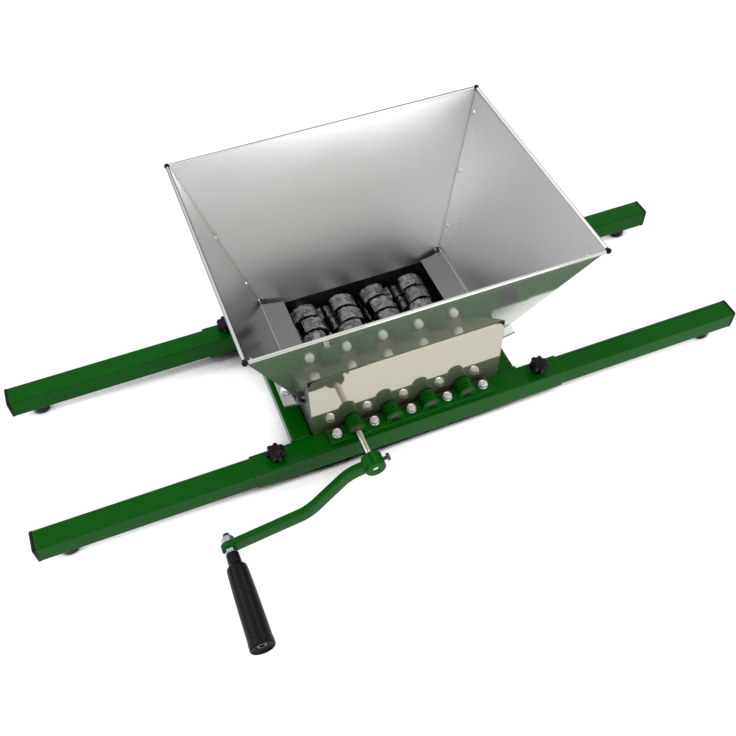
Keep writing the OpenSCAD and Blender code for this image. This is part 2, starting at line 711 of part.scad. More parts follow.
// The claws of neighbouring rollers face each other, because these turn towards each other
module wheels(i) color(cast_grey) for (k = [0 : wheel_count - 1])
    on_shaft(roller_x[i]) translate([0, 0, (k - (wheel_count - 1) / 2) * wheel_pitch])
        difference() {
            mirror([1 - i % 2, 0, 0]) rotate(wheel_turn(i, k)) claw_wheel();
            hexagon_bore();
        }
module claw_wheel() {
    cylinder(r = wheel_hub_r, h = wheel_pitch - sheet_gap, center = true);
    linear_extrude(wheel_pitch - wheel_groove, center = true)
        for (k = [0 : wheel_claws - 1]) rotate(k * 360 / wheel_claws) polygon(claw_points());
}

// Gears

gear_r = gear_teeth * gear_module / 2;
gear_base_r = gear_r * cos(gear_pressure);
gear_tip_r = gear_r + gear_module;
gear_root_r = gear_r - 1.25 * gear_module;
// Polar angle of an involute at a radius, from where it leaves the base circle
function involute(r) = let (t = sqrt(pow(max(r / gear_base_r, 1), 2) - 1)) t * 180 / PI - atan(t);
// Half the angle that a tooth fills at a radius
function tooth_half(r) = 90 / gear_teeth - gear_play / 2 / gear_r * 90 / PI + involute(gear_r) - involute(r);
function flank_r(k) = gear_base_r + (gear_tip_r - gear_base_r) * k / gear_flank_steps;
function tooth_points(a) = concat(
    [polar(gear_root_r, a - tooth_half(gear_base_r))],
    [for (k = [0 : gear_flank_steps]) polar(flank_r(k), a - tooth_half(flank_r(k)))],
    [for (k = [gear_flank_steps : -1 : 0]) polar(flank_r(k), a + tooth_half(flank_r(k)))],
    [polar(gear_root_r, a + tooth_half(gear_base_r))]);
// The gear fits the shaft's flat, and a spacer sleeve holds it off the bearing strip
module gear(i) color(cast_grey) translate([roller_x[i], 0, shaft_z]) {
    turn = i % 2 * 180 / gear_teeth;
    along_y(gear_y, gear_y + gear_w) difference() {
        polygon([for (t = [0 : gear_teeth - 1]) each tooth_points(turn + t * 360 / gear_teeth)]);
        difference() {
            circle(shaft_r + snug);
            translate([-shaft_d, shaft_r - flat_depth + snug]) square([2 * shaft_d, shaft_d]);
        }
    }
    along_y(strip_out + sleeve_gap, gear_y - sheet_gap) difference() {
        circle(sleeve_r);
        circle(shaft_r + snug);
    }
}

// Crank

// The crank's own frame: X away from the shaft along the bar, Y along the shaft
module at_crank() translate([roller_x[0], 0, shaft_z]) rotate([0, 180 - crank_drop, 0]) children();
module sector(r_in, r_out, a0, a1) intersection() {
    difference() { circle(r_out); circle(r_in); }
    polygon([[0, 0], polar(2 * r_out, a0), polar(2 * r_out, a1)]);
}
// The bar seen from above: straight, out, slanting, back, straight
module bar_outline() {
    half = crank_bar_t / 2;
    in_r = crank_bend_r - half;
    out_r = crank_bend_r + half;
    translate([0, -hub_mid - half]) square([crank_root, crank_bar_t]);
    translate([crank_root, -hub_mid - crank_bend_r])
        sector(in_r, out_r, 90 - crank_bend - bend_lap, 90 + bend_lap);
    translate([crank_root + bend_run, -hub_mid - bend_rise]) rotate(-crank_bend)
        translate([0, -half]) square([bar_slant, crank_bar_t]);
    translate([bend_end, -bar_y + crank_bend_r])
        sector(in_r, out_r, 270 - crank_bend - bend_lap, 270 + bend_lap);
    translate([bend_end, -bar_y - half]) square([crank_r - bend_end, crank_bar_t]);
}
module crank_arm() color(paint_green) at_crank() difference() {
    union() {
        linear_extrude(crank_bar_h, center = true) bar_outline();
        translate([crank_r, -bar_y, 0]) rotate([90, 0, 0])
            cylinder(d = crank_bar_h, h = crank_bar_t, center = true);
        rotate([90, 0, 0]) rotate_extrude() polygon([
            [0, hub_near], [crank_hub_d / 2 - hub_chamfer, hub_near],
            [crank_hub_d / 2, hub_near + hub_chamfer], [crank_hub_d / 2, hub_far - hub_chamfer],
            [crank_hub_d / 2 - hub_chamfer, hub_far], [0, hub_far]]);
    }
    rotate([90, 0, 0]) cylinder(r = shaft_r + snug, h = hub_far + cut);
    translate([crank_r, -bar_y, 0]) rotate([90, 0, 0])
        cylinder(r = grip_bolt_d / 2 + snug, h = crank_bar_t + 2 * cut, center = true);
    translate([0, -hub_mid, 0]) rotate([0, -90, 0])
        cylinder(r = set_screw_d / 2 + snug, h = crank_hub_d);
}
// Its head stands off the hub, and its point bears on the shaft's flat
module crank_set_screw() color(bright_steel) at_crank() translate([0, -hub_mid, 0]) rotate([0, -90, 0]) {
    point = shaft_r - flat_depth + snug;
    head = crank_hub_d / 2 + set_screw_stand;
    translate([0, 0, point]) cylinder(d = set_screw_d, h = head - point + cut);
    translate([0, 0, head]) hexagon(set_screw_flats, set_screw_head);
}

// Children stand on the grip's axis, with their own Z running out along it
module on_grip() at_crank() translate([crank_r, 0, 0]) rotate([90, 0, 0]) children();
module handle_bolt() color(bright_steel) on_grip() {
    head_y = grip_far - grip_recess + clear;
    tail_y = bar_y - crank_bar_t / 2 - back_nut_h - bolt_tail;
    translate([0, 0, tail_y]) cylinder(d = grip_bolt_d, h = head_y + cut - tail_y);
    translate([0, 0, head_y]) difference() {
        cylinder(d = grip_head_d, h = grip_head_h);
        translate([0, 0, grip_head_h / 2]) hexagon(grip_head_d * socket_share, grip_head_h);
    }
}
module handle_nuts() color(zinc_white) on_grip() {
    grip_nut(front_nut_y, jam_nut_h);
    grip_nut(bar_y - crank_bar_t / 2 - back_nut_h, back_nut_h);
}
module grip_nut(y, h) translate([0, 0, y]) difference() {
    hexagon(grip_flats, h);
    translate([0, 0, -cut]) cylinder(r = grip_bolt_d / 2 + snug, h = h + 2 * cut);
}
module grip() color(black_plastic) on_grip() rotate_extrude() difference() {
    polygon([
        [0, grip_near], [grip_neck_d / 2, grip_near],
        [grip_neck_d / 2 + clear, grip_near + grip_neck_len],
        for (k = [0 : grip_steps])
            [grip_body_r(k / grip_steps), grip_body_y + (grip_rim_y - grip_body_y) * k / grip_steps],
        [grip_end_d / 2, grip_rim_y + grip_edge], [grip_end_d / 2, grip_far - grip_edge],
        [grip_end_d / 2 - grip_edge, grip_far], [0, grip_far]]);
    translate([0, grip_near - cut]) square([grip_bolt_d / 2 + running, grip_len + 2 * cut]);
    translate([0, grip_far - grip_recess]) square([grip_head_d / 2 + clear, grip_recess + cut]);
}

placed() rail(-1);  // front_rail
placed() rail(1);  // rear_rail
placed() crossbar(-1);  // left_crossbar
placed() crossbar(1);  // right_crossbar
placed() throat_plate(-1);  // throat_front_plate
placed() throat_plate(1);  // throat_rear_plate
placed() throat_wall(-1);  // throat_left_wall
placed() throat_wall(1);  // throat_right_wall
placed() guard(-1);  // left_guard
placed() guard(1);  // right_guard
placed() hopper_end(-1);  // hopper_front_panel
placed() hopper_end(1);  // hopper_rear_panel
placed() hopper_side(-1);  // hopper_left_panel
placed() hopper_side(1);  // hopper_right_panel
placed() hopper_rivets();
placed() rim_corner_caps();
placed() hopper_bolts();
placed() hopper_nuts();
placed() bearing_strip(-1);  // front_bearing_strip
placed() bearing_strip(1);  // rear_bearing_strip
placed() bearing_bolts();
placed() bearing_bushes();
placed() washers();
placed() arm(-1, -1);  // front_left_arm
placed() arm(1, -1);  // front_right_arm
placed() arm(-1, 1);  // rear_left_arm
placed() arm(1, 1);  // rear_right_arm
placed() end_cap(-1, -1);  // front_left_cap
placed() end_cap(1, -1);  // front_right_cap
placed() end_cap(-1, 1);  // rear_left_cap
placed() end_cap(1, 1);  // rear_right_cap
placed() foot(-1, -1);  // front_left_foot
placed() foot(1, -1);  // front_right_foot
placed() foot(-1, 1);  // rear_left_foot
placed() foot(1, 1);  // rear_right_foot
placed() knob(-1, -1);  // front_left_knob
placed() knob(1, -1);  // front_right_knob
placed() knob(-1, 1);  // rear_left_knob
placed() knob(1, 1);  // rear_right_knob
placed() stud(-1, -1);  // front_left_stud
placed() stud(1, -1);  // front_right_stud
placed() stud(-1, 1);  // rear_left_stud
placed() stud(1, 1);  // rear_right_stud
placed() shaft(0);  // drive_shaft
placed() shaft(1);  // second_shaft
placed() shaft(2);  // third_shaft
placed() shaft(3);  // fourth_shaft
placed() wheels(0);  // drive_wheels
placed() wheels(1);  // second_wheels
placed() wheels(2);  // third_wheels
placed() wheels(3);  // fourth_wheels
placed() gear(0);  // drive_gear
placed() gear(1);  // second_gear
placed() gear(2);  // third_gear
placed() gear(3);  // fourth_gear
placed() crank_arm();
placed() crank_set_screw();
placed() handle_bolt();
placed() handle_nuts();
placed() grip();
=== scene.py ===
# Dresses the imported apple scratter: paint, stainless sheet, cast iron and moulded plastic,
# with the fine shapes of its knobs, grip, crank, bolts and claws, on a white studio floor.

import json
import math

import bmesh
import bpy
import numpy as np
from bpy.props import FloatProperty, FloatVectorProperty, IntProperty, PointerProperty
from bpy.types import NodeSocket, Operator, Panel, PropertyGroup
from mathutils import Matrix, Vector


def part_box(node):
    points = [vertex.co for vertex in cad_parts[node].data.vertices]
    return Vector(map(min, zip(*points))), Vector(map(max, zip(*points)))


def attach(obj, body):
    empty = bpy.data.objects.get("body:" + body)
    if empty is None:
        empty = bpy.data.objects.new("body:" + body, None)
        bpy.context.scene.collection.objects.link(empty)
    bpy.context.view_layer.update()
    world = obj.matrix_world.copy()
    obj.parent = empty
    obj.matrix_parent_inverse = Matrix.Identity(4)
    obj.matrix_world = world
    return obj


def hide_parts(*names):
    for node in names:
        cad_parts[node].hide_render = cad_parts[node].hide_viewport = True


bl_info = {
    "name": "Apple scratter finishes",
    "version": (1, 0, 0),
    "blender": (4, 5, 0),
    "location": "3D View > Sidebar > Scratter",
    "description": "Finishes and fine shapes for a hand cranked apple scratter",
    "category": "Object",
}

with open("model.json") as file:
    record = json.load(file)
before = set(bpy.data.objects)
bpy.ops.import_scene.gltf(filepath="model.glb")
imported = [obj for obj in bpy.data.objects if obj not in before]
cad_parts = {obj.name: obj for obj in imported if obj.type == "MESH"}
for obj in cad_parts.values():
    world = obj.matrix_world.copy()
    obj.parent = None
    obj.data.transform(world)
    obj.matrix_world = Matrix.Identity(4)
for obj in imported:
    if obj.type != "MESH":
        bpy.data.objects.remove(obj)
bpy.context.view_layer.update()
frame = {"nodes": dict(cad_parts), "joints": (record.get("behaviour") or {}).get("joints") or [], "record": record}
NODES = frame["nodes"]
# Each corner's name, and its side along X and Y
CORNERS = (("front_left", -1, -1), ("front_right", 1, -1),
           ("rear_left", -1, 1), ("rear_right", 1, 1))
ROLLERS = ("drive", "second", "third", "fourth")
# One millimetre, in metres
MM = 0.001


# Sizes taken from the frame, in millimetres


def joint_point(name):
    """A point on the axis of a joint."""
    return np.array(next(j["pos_m"] for j in frame["joints"] if j["name"] == name)) / MM


def corners_of(node):
    """The lowest and highest corner of a CAD node's box."""
    low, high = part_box(node)
    return np.array(low) / MM, np.array(high) / MM


# Pieces are worked out from the middle plane of the rails, which lies this far behind the origin
RAIL_PLANE = float(joint_point("crank_turn")[1])
SHAFT_Z = float(joint_point("crank_turn")[2])
ROLLER_X = [float(joint_point(n)[0]) for n in
            ("crank_turn", "second_roller_turn", "third_roller_turn", "fourth_roller_turn")]

# Sizes repeated from the solids, in millimetres. Inner faces and tops of the rails:
RAIL_IN_Y, RAIL_TOP = 93.15, 43.75
# Bearing strips: tops of their lands, places of their bolts and length of the shanks
LAND_Z, BOLT_Y, BOLT_X, LAND_SHANK = 49.25, 106.75, (-96.0, -48.0, 0.0, 48.0, 96.0), 6.5
# Hopper's seat: middle bolt on the right, step between bolts, tilt in degrees, sheet thickness
SEAT_BOLT, SEAT_PITCH, SEAT_TILT, SHEET = (140.68, 4.5, 96.227), 61.79, 12.0, 1.0
# Hexagon bolts, nuts and washers
BOLT_D, BOLT_FLATS, HEAD_H, NUT_H = 6.0, 10.0, 4.0, 5.0
WASHER_R, WASHER_T = 6.0, 1.2
# Where the rolled hem of the rim starts, and the height over which it takes over
HEM_Z, HEM_OVER = 283.2, 0.4
# Crushing wheels: radius, radius of the hub, step along the shaft and width
WHEEL_R, WHEEL_HUB_R, WHEEL_PITCH, WHEEL_W = 23.4, 12.0, 23.986, 19.986
SHAFT_R = 4.25
KNOB_NECK = 5.0
# Crank: reach, fall in degrees, and its hub's ends and radius
CRANK_R, CRANK_DROP, HUB_NEAR, HUB_FAR, HUB_R = 186.0, 9.5, 154.0, 173.0, 12.75
HUB_MIDDLE = (HUB_NEAR + HUB_FAR) / 2
# Its bar: height, thickness, corner radius, offset, and the bends' radius, degrees and start
BAR_H, BAR_T, BAR_CORNER, BAR_OFFSET = 19.5, 7.5, 1.7, 23.5
BEND_R, BEND, ROOT = 60.0, 22.0, 20.0
# Set screw: radius, width over the flats, height of the head and gap under it
SCREW_R, SCREW_FLATS, SCREW_HEAD, SCREW_GAP = 2.5, 8.0, 4.0, 4.0
# Grip: its ends, its bolt, and the nuts' width and heights in front of and behind the bar
GRIP_NEAR, GRIP_FAR, GRIP_BOLT_R = 197.05, 313.05, 4.0
GRIP_FLATS, FRONT_NUT_H, BACK_NUT_H = 13.0, 6.0, 8.0
# End caps: thickness, depth of the plug, half width and corner radius
CAP_T, CAP_DEPTH, CAP_HALF, CAP_CORNER = 4.0, 14.0, 13.75, 2.6


# Meshes from arrays


def joined(parts):
    """Several meshes of vertices and faces as one."""
    vertices, faces, base = [], [], 0
    for v, f in parts:
        vertices.append(np.asarray(v, float).reshape(-1, 3))
        faces.extend([[i + base for i in face] for face in f])
        base += len(vertices[-1])
    return np.concatenate(vertices), faces


def mesh_piece(name, parts, slot, body, replaced=(), sharp=38.0, finish_name=None):
    """Makes an object from meshes in millimetres, measured from the rails' middle plane.

    It is seated on a body of the frame, in place of the nodes that it replaces.
    """
    vertices, faces = joined(parts)
    mesh = bpy.data.meshes.new(name)
    mesh.from_pydata(((vertices + (0.0, RAIL_PLANE, 0.0)) * MM).tolist(), [], faces)
    tidy = bmesh.new()
    tidy.from_mesh(mesh)
    bmesh.ops.remove_doubles(tidy, verts=tidy.verts, dist=1e-6)
    bmesh.ops.recalc_face_normals(tidy, faces=tidy.faces)
    tidy.to_mesh(mesh)
    tidy.free()
    piece = bpy.data.objects.new(name, mesh)
    bpy.context.scene.collection.objects.link(piece)
    mesh.materials.append(bpy.data.materials[finish_name or FINISH_OF_SLOT[slot]])
    mesh.shade_smooth()
    mesh.set_sharp_from_angle(angle=math.radians(sharp))
    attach(piece, body)
    if replaced:
        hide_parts(*replaced)
    return piece


def grid_faces(rows, columns, round_rows=False):
    """Quads of a grid that is closed round its columns, and round its rows if asked."""
    r, c = np.meshgrid(np.arange(rows if round_rows else rows - 1), np.arange(columns),
                       indexing="ij")
    up, n = (r + 1) % rows, (c + 1) % columns
    quads = [r * columns + c, r * columns + n, up * columns + n, up * columns + c]
    return np.stack(quads, -1).reshape(-1, 4).tolist()


def capped(points):
    """Rows of points closed round each row, with a fan from its middle over both end rows."""
    rows, columns, _ = points.shape
    vertices = np.concatenate([points.reshape(-1, 3), points[0].mean(0)[None],
                               points[-1].mean(0)[None]])
    c = np.arange(columns)
    n, last = (c + 1) % columns, (rows - 1) * columns
    near = np.stack([np.full(columns, rows * columns), n, c], -1)
    far = np.stack([np.full(columns, rows * columns + 1), last + c, last + n], -1)
    return vertices, grid_faces(rows, columns) + near.tolist() + far.tolist()


def plated(points):
    """Rows of points closed round each row, with one flat face over both end rows."""
    rows, columns, _ = points.shape
    ends = [list(range(columns - 1, -1, -1)), list(range((rows - 1) * columns, rows * columns))]
    return points.reshape(-1, 3), grid_faces(rows, columns) + ends


def looped(points):
    """Rows of points closed round each row, the last row joined to the first."""
    rows, columns, _ = points.shape
    return points.reshape(-1, 3), grid_faces(rows, columns, True)


def around(count):
    """Even angles round a circle."""
    return np.linspace(0, 2 * np.pi, count, endpoint=False)


def ring(r, z, a):
    """Points round Z at a radius, height and angle: x = r cos a, y = r sin a, z = height."""
    return np.stack([r * np.cos(a), r * np.sin(a), z + 0 * a], -1)


def turned(profile, segments=48):
    """A profile of radius and height carried round the Z axis."""
    profile = np.asarray(profile, float)
    return ring(profile[:, :1], profile[:, 1:], around(segments))


def softened(points, radius, steps=3):
    """Each inner corner of a profile becomes a parabola that meets its sides at a distance."""
    points = np.asarray(points, float)
    out = [points[:1]]
    t = np.linspace(0, 1, steps + 1)[:, None]
    for a, b, c in zip(points[:-2], points[1:-1], points[2:]):
        near, far = np.linalg.norm(a - b), np.linalg.norm(c - b)
        p = b + (a - b) * min(radius / near, 0.45)
        q = b + (c - b) * min(radius / far, 0.45)
        out.append((1 - t) ** 2 * p + 2 * t * (1 - t) * b + t ** 2 * q)
    return np.concatenate(out + [points[-1:]])


def moved(parts, matrix):
    """Meshes carried by a 4 by 4 matrix."""
    m = np.array(matrix)
    return [(np.reshape(v, (-1, 3)) @ m[:3, :3].T + m[:3, 3], f) for v, f in parts]


def spun(degrees, axis):
    """A matrix that turns about an axis."""
    return Matrix.Rotation(math.radians(degrees), 4, axis)


def placed(x, y, z, turn=0.0, flip=(1.0, 1.0, 1.0)):
    """A matrix that turns about Z by degrees, moves to a place and then mirrors."""
    return Matrix.Diagonal((*flip, 1.0)) @ Matrix.Translation((x, y, z)) @ spun(turn, "Z")


def lifted(part, height):
    """A mesh moved up, as a list of one."""
    return moved([part], placed(0, 0, height))


def run_length(path):
    """Distance along a path up to each of its points."""
    return np.concatenate([[0], np.cumsum(np.linalg.norm(np.diff(path, axis=0), axis=1))])


def uneven(points, size, seed):
    """A smooth value between about -1 and 1 over space: products of three sines at two scales."""
    x, y, z = np.moveaxis(np.asarray(points, float) * (2 * np.pi / size), -1, 0)
    s = seed * 1.7
    coarse = np.sin(x + s) * np.sin(y * 0.83 + 2 * s) * np.sin(z * 1.13 + 3 * s)
    fine = np.sin(x * 2.7 + 4 * s) * np.sin(y * 2.3 + s) * np.sin(z * 2.9 + 2 * s)
    return 1.3 * coarse + 0.7 * fine


def rounded_box(half_x, half_y, radius, steps):
    """The outline of a box with rounded corners, anticlockwise."""
    q = np.linspace(0, np.pi / 2, steps)
    return np.concatenate([
        np.stack([sx * (half_x - radius) + radius * np.cos(q + k * np.pi / 2),
                  sy * (half_y - radius) + radius * np.sin(q + k * np.pi / 2)], -1)
        for k, (sx, sy) in enumerate(((1, 1), (-1, 1), (-1, -1), (1, -1)))])


# Shapes of the pieces


def hexagon_reach(angle, flats):
    """From a hexagon's middle to its side: half its width / cos(angle from the side's middle)."""
    return flats / 2 / np.cos(angle % (np.pi / 3) - np.pi / 6)


def hex_piece(flats, height, bore=0.0):
    """A bolt head, or a nut if it has a bore: a hexagon whose free corners a 30 degree cone cuts.

    The side's edge falls below the flat end by (its distance from the axis - crown radius)
    times tan 30.
    """
    a = around(60)
    side = hexagon_reach(a, flats)
    crown = flats / 2 * 0.93
    fall = (side - crown) * math.tan(math.radians(30))
    rows = [(bore, 0), (crown, 0), (side, fall if bore else 0), (side, height - fall),
            (crown, height), (bore, height)]
    points = np.stack([ring(r, z, a) for r, z in (rows if bore else rows[2:5])])
    return looped(points) if bore else capped(points)


def washer():
    """A washer: a flat ring with softened edges."""
    inner, outer, top, e = BOLT_D / 2 + 0.1, WASHER_R, WASHER_T, 0.25
    profile = [(inner, e), (inner + e, 0), (outer - e, 0), (outer, e), (outer, top - e),
               (outer - e, top), (inner + e, top), (inner, top - e)]
    return looped(turned(profile, 40))


def threaded(radius, length, pitch, depth):
    """A thread: the radius falls by depth times a triangle wave of height less turn."""
    z = np.linspace(0, length, max(int(length / pitch * 8), 8))[:, None]
    a = around(32)[None, :]
    wave = np.abs(((z / pitch - a / (2 * np.pi)) % 1.0) * 2 - 1)
    ends = np.clip(np.minimum(z, length - z) / (pitch * 0.5), 0, 1)
    return capped(ring(radius - depth * (wave * ends + (1 - ends)), z, a))


def bolt(shank):
    """A hexagon bolt with its washer's lower face at height 0."""
    return lifted(hex_piece(BOLT_FLATS, HEAD_H), WASHER_T) \
        + lifted(threaded(BOLT_D / 2, shank + WASHER_T + 0.5, 1.0, 0.35), -shank)


def star_knob(diameter, total, lobes, valley):
    """A star knob: radius = share of the row * outer radius - valley * (1 - lobe wave) ^ 1.4.

    The lobe wave is (1 + cos(lobes * angle)) / 2. The valleys fade out towards neck and crown.
    """
    neck = KNOB_NECK
    rows = np.array([  # share of the outer radius, height, share of the valley
        (0.58, 0.0, 0.0), (0.58, neck * 0.8, 0.0), (0.66, neck * 1.02, 0.15),
        (0.88, neck + 0.4, 0.6), (0.965, neck + 1.1, 0.9), (1.0, neck + 2.4, 1.0),
        (1.0, total - 4.4, 1.0), (0.975, total - 2.6, 1.0), (0.91, total - 1.5, 0.9),
        (0.80, total - 0.8, 0.62), (0.62, total - 0.35, 0.3), (0.40, total - 0.1, 0.08),
        (0.30, total - 0.05, 0.0), (0.26, total - 0.5, 0.0), (0.12, total - 0.55, 0.0)])
    a = around(lobes * 16)[None, :]
    wave = (1 + np.cos(lobes * a)) / 2
    r = rows[:, :1] * (diameter / 2) - rows[:, 2:] * valley * (1 - wave) ** 1.4
    return capped(ring(r, rows[:, 1:2], a))


def even_outline(points, step):
    """A closed outline resampled at even steps along its length."""
    closed = np.concatenate([points, points[:1]])
    length = run_length(closed)
    at = np.linspace(0, length[-1], int(length[-1] / step), endpoint=False)
    return np.stack([np.interp(at, length, closed[:, k]) for k in (0, 1)], -1)


def rounded_outline(points, passes):
    """Each point of a closed outline becomes the mean of itself and its neighbours."""
    for _ in range(passes):
        points = points / 2 + (np.roll(points, 1, 0) + np.roll(points, -1, 0)) / 4
    return points


def outline_normals(points):
    """Outward normals of a closed outline that runs anticlockwise."""
    along = np.roll(points, -1, 0) - np.roll(points, 1, 0)
    normal = np.stack([along[:, 1], -along[:, 0]], -1)
    return normal / np.maximum(np.linalg.norm(normal, axis=1, keepdims=True), 1e-9)


# Angle from the start of a claw's dome in degrees, and share of the wheel's radius
FINGER = ((5.0, 0.53), (2.0, 0.66), (-4.0, 0.745), (-12.0, 0.80), (-24.0, 0.84), (-34.0, 0.865),
          (-34.8, 0.89), (-34.0, 0.915), (-24.0, 0.955), (-12.0, 0.985), (-5.0, 0.997),
          (0.0, 1.0), (5.0, 1.0), (10.0, 1.0))
HEEL = ((56.0, 1.0), (57.5, 0.95), (60.0, 0.86), (61.5, 0.70), (62.0, 0.53))
DOME_END, CROWN_END = 15.0, 55.0
# Where the hub shows between two claws, the number of claws and the angle between them
HUB_FROM, HUB_TO, CLAWS, CLAW_STEP = 66.0, 121.0, 3, 120.0
# Share of a ridge's pitch, and whether it lies in the groove
RIDGE = ((0.0, 0.0), (0.60, 0.0), (0.72, 1.0), (0.90, 1.0))
# Turn of each wheel on each shaft from the front, as a share of the step between claws
WHEEL_TURN = ((0.62, 0.88, 0.40, 0.70, 0.29, 0.03, 0.22),
              (0.35, 0.60, 0.95, 0.50, 0.03, 0.29, 0.21),
              (0.45, 0.75, 0.15, 0.90, 0.04, 0.08, 0.23),
              (0.80, 0.25, 0.65, 0.45, 0.10, 0.27, 0.23))


def claw_outline(ridges, depth):
    """The outline of a wheel's claws: finger, dome, ridges and heel, joined by arcs of the hub."""
    steps = [(DOME_END + (k + s) * (CROWN_END - DOME_END) / ridges, 1.0 - g * depth / WHEEL_R)
             for k in range(ridges) for s, g in RIDGE]
    hub = [(a, WHEEL_HUB_R / WHEEL_R) for a in np.arange(HUB_FROM, HUB_TO, 6.0)]
    claw = np.array([*FINGER, *steps, (CROWN_END, 1.0), *HEEL, *hub])
    a = np.radians(np.concatenate([claw[:, 0] + CLAW_STEP * k for k in range(CLAWS)]))
    r = np.tile(claw[:, 1], CLAWS) * WHEEL_R
    return rounded_outline(even_outline(ring(r, 0, a)[:, :2], 0.55), 2)


def claw_wheel(outline, turn, mirrored, y, rough, seed):
    """A crushing wheel: its outline carried along Y and drawn in at both ends.

    It is pushed along its normals by an uneven value, as a rough casting is. The hub is a plain
    drum that fills the groove beside it.
    """
    normal = outline_normals(outline)
    half, edge = WHEEL_W / 2, WHEEL_PITCH / 2
    # Place along the shaft, and how far the outline is drawn in there
    end = [(half, 0.8), (half - 0.15, 0.35), (half - 0.6, 0.05), (half - 2.5, 0.0),
           (half * 0.4, 0.0)]
    rows = np.array([(-at, drawn) for at, drawn in end] + [(0.0, 0.0)] + end[::-1])
    flat = np.concatenate([outline[None] - rows[:, 1:, None] * normal[None],
                           np.broadcast_to(rows[:, :1, None], (len(rows), len(outline), 1))], -1)
    flat[..., :2] += rough * uneven(flat, 9.0, seed)[..., None] * normal[None]
    reach = np.hypot(flat[..., 0], flat[..., 1])
    flat[..., :2] *= np.minimum(1.0, WHEEL_R / reach)[..., None]
    # A plain wheel turns clockwise as its angles grow, a mirrored one the other way
    sign = -1.0 if mirrored else 1.0
    t = math.radians(turn)
    x = flat[..., 0] * math.cos(t) - flat[..., 1] * math.sin(t)
    z = -(flat[..., 0] * math.sin(t) + flat[..., 1] * math.cos(t))
    drum = turned([(WHEEL_HUB_R - 0.5, -edge + 0.05), (WHEEL_HUB_R, -edge + 0.5),
                   (WHEEL_HUB_R, edge - 0.5), (WHEEL_HUB_R - 0.5, edge - 0.05)])
    return [plated(np.stack([sign * x, flat[..., 2] + y, z], -1)),
            capped(np.stack([drum[..., 0], drum[..., 2] + y, drum[..., 1]], -1))]


def crank_matrix():
    """The crank's own frame: X out along the bar, Y towards the crank side, Z square to both."""
    t = math.radians(180.0 - CRANK_DROP)
    c, s = math.cos(t), math.sin(t)
    return Matrix(((c, 0, s, ROLLER_X[0]), (0, -1, 0, 0), (-s, 0, c, SHAFT_Z), (0, 0, 0, 1)))


def crank_bar():
    """The bar: a section with rounded corners along a path with two bends and a slant between.

    The path's heading rises evenly to the bend angle, holds, and falls back; its place is the
    running sum of the heading's cosine and sine. Past the eye's centre the height falls as
    sqrt(1 - (distance / radius) ^ 2).
    """
    bend = math.radians(BEND)
    slant = (BAR_OFFSET - 2 * BEND_R * (1 - math.cos(bend))) / math.sin(bend)
    marks = np.cumsum([0, ROOT, BEND_R * bend, slant, BEND_R * bend])
    along = np.concatenate([np.linspace(0, marks[-1], 400),
                            marks[-1] + np.linspace(0.5, 120, 240)])
    heading = np.interp(along, marks, [0, 0, bend, bend, 0])
    step = np.diff(along, prepend=0)
    u, v = np.cumsum(np.cos(heading) * step), HUB_MIDDLE + np.cumsum(np.sin(heading) * step)
    eye_r = BAR_H / 2
    eye = CRANK_R + eye_r * np.sin(np.linspace(0, np.pi / 2, 12))
    eye[-1] = CRANK_R + eye_r * 0.9995
    stations = np.concatenate([np.linspace(6.0, 20.0, 4), np.linspace(22.0, 108.0, 44),
                               np.linspace(112.0, CRANK_R - 3, 8), eye])[:, None]
    v_at, turn = np.interp(stations, u, v), np.interp(stations, u, heading)
    past = np.clip((stations - CRANK_R) / eye_r, 0, 1)
    x, w = rounded_box(BAR_T / 2, BAR_H / 2, BAR_CORNER, 12).T
    return capped(np.stack([stations - x * np.sin(turn), v_at + x * np.cos(turn),
                            w * np.sqrt(1 - past ** 2)], -1))


def bead(path, radius, ripple=0.35):
    """A weld bead: a tube along a path whose radius rises and falls like overlapping drops."""
    path = np.asarray(path, float)
    length = run_length(path)
    at = np.linspace(0, length[-1], max(int(length[-1] / 0.45), 4))
    p = np.stack([np.interp(at, length, path[:, k]) for k in range(3)], -1)
    tangent = np.gradient(p, axis=0)
    tangent /= np.linalg.norm(tangent, axis=1, keepdims=True)
    side = np.cross(tangent, np.where(np.abs(tangent[:, 1:2]) < 0.9,
                                      [[0.0, 1.0, 0.0]], [[1.0, 0.0, 0.0]]))
    side /= np.linalg.norm(side, axis=1, keepdims=True)
    up = np.cross(tangent, side)
    r = radius * (1 + ripple * np.abs(np.sin(np.pi * at / 2.4)) - ripple / 2)
    r = r * np.sqrt(np.clip(np.minimum(at, at[-1] - at) / radius, 0.05, 1))
    a = around(10)[None, :, None]
    return capped(p[:, None] + r[:, None, None] * (np.cos(a) * side[:, None]
                                                   + np.sin(a) * up[:, None]))


# Nodes


def put(tree, node, inputs):
    """Sets a node's inputs, each to a value, a colour or another node's output."""
    for key, value in inputs.items():
        socket = node.inputs[key]
        if isinstance(value, NodeSocket):
            tree.links.new(value, socket)
        else:
            socket.default_value = (*value, 1.0) if socket.type == "RGBA" else value
    return node


def add(tree, kind, inputs=None, **settings):
    """A new shader node with its settings and inputs."""
    made = tree.nodes.new("ShaderNode" + kind)
    for key, value in settings.items():
        setattr(made, key, value)
    return put(tree, made, inputs or {})


def mixed(tree, factor, low, high):
    """Colour low where the factor is 0 and high where it is 1."""
    # A Mix node's colours are its inputs 6 and 7 and its output 2
    return add(tree, "Mix", {0: factor, 6: low, 7: high}, data_type="RGBA").outputs[2]


def ranged(tree, value, low, high, out_low=0.0, out_high=1.0, **settings):
    """A value carried from one range to another."""
    return add(tree, "MapRange", {0: value, 1: low, 2: high, 3: out_low, 4: out_high},
               **settings).outputs[0]


def worked(tree, operation, first, second):
    """Two values joined by an operation."""
    return add(tree, "Math", {0: first, 1: second}, operation=operation).outputs[0]


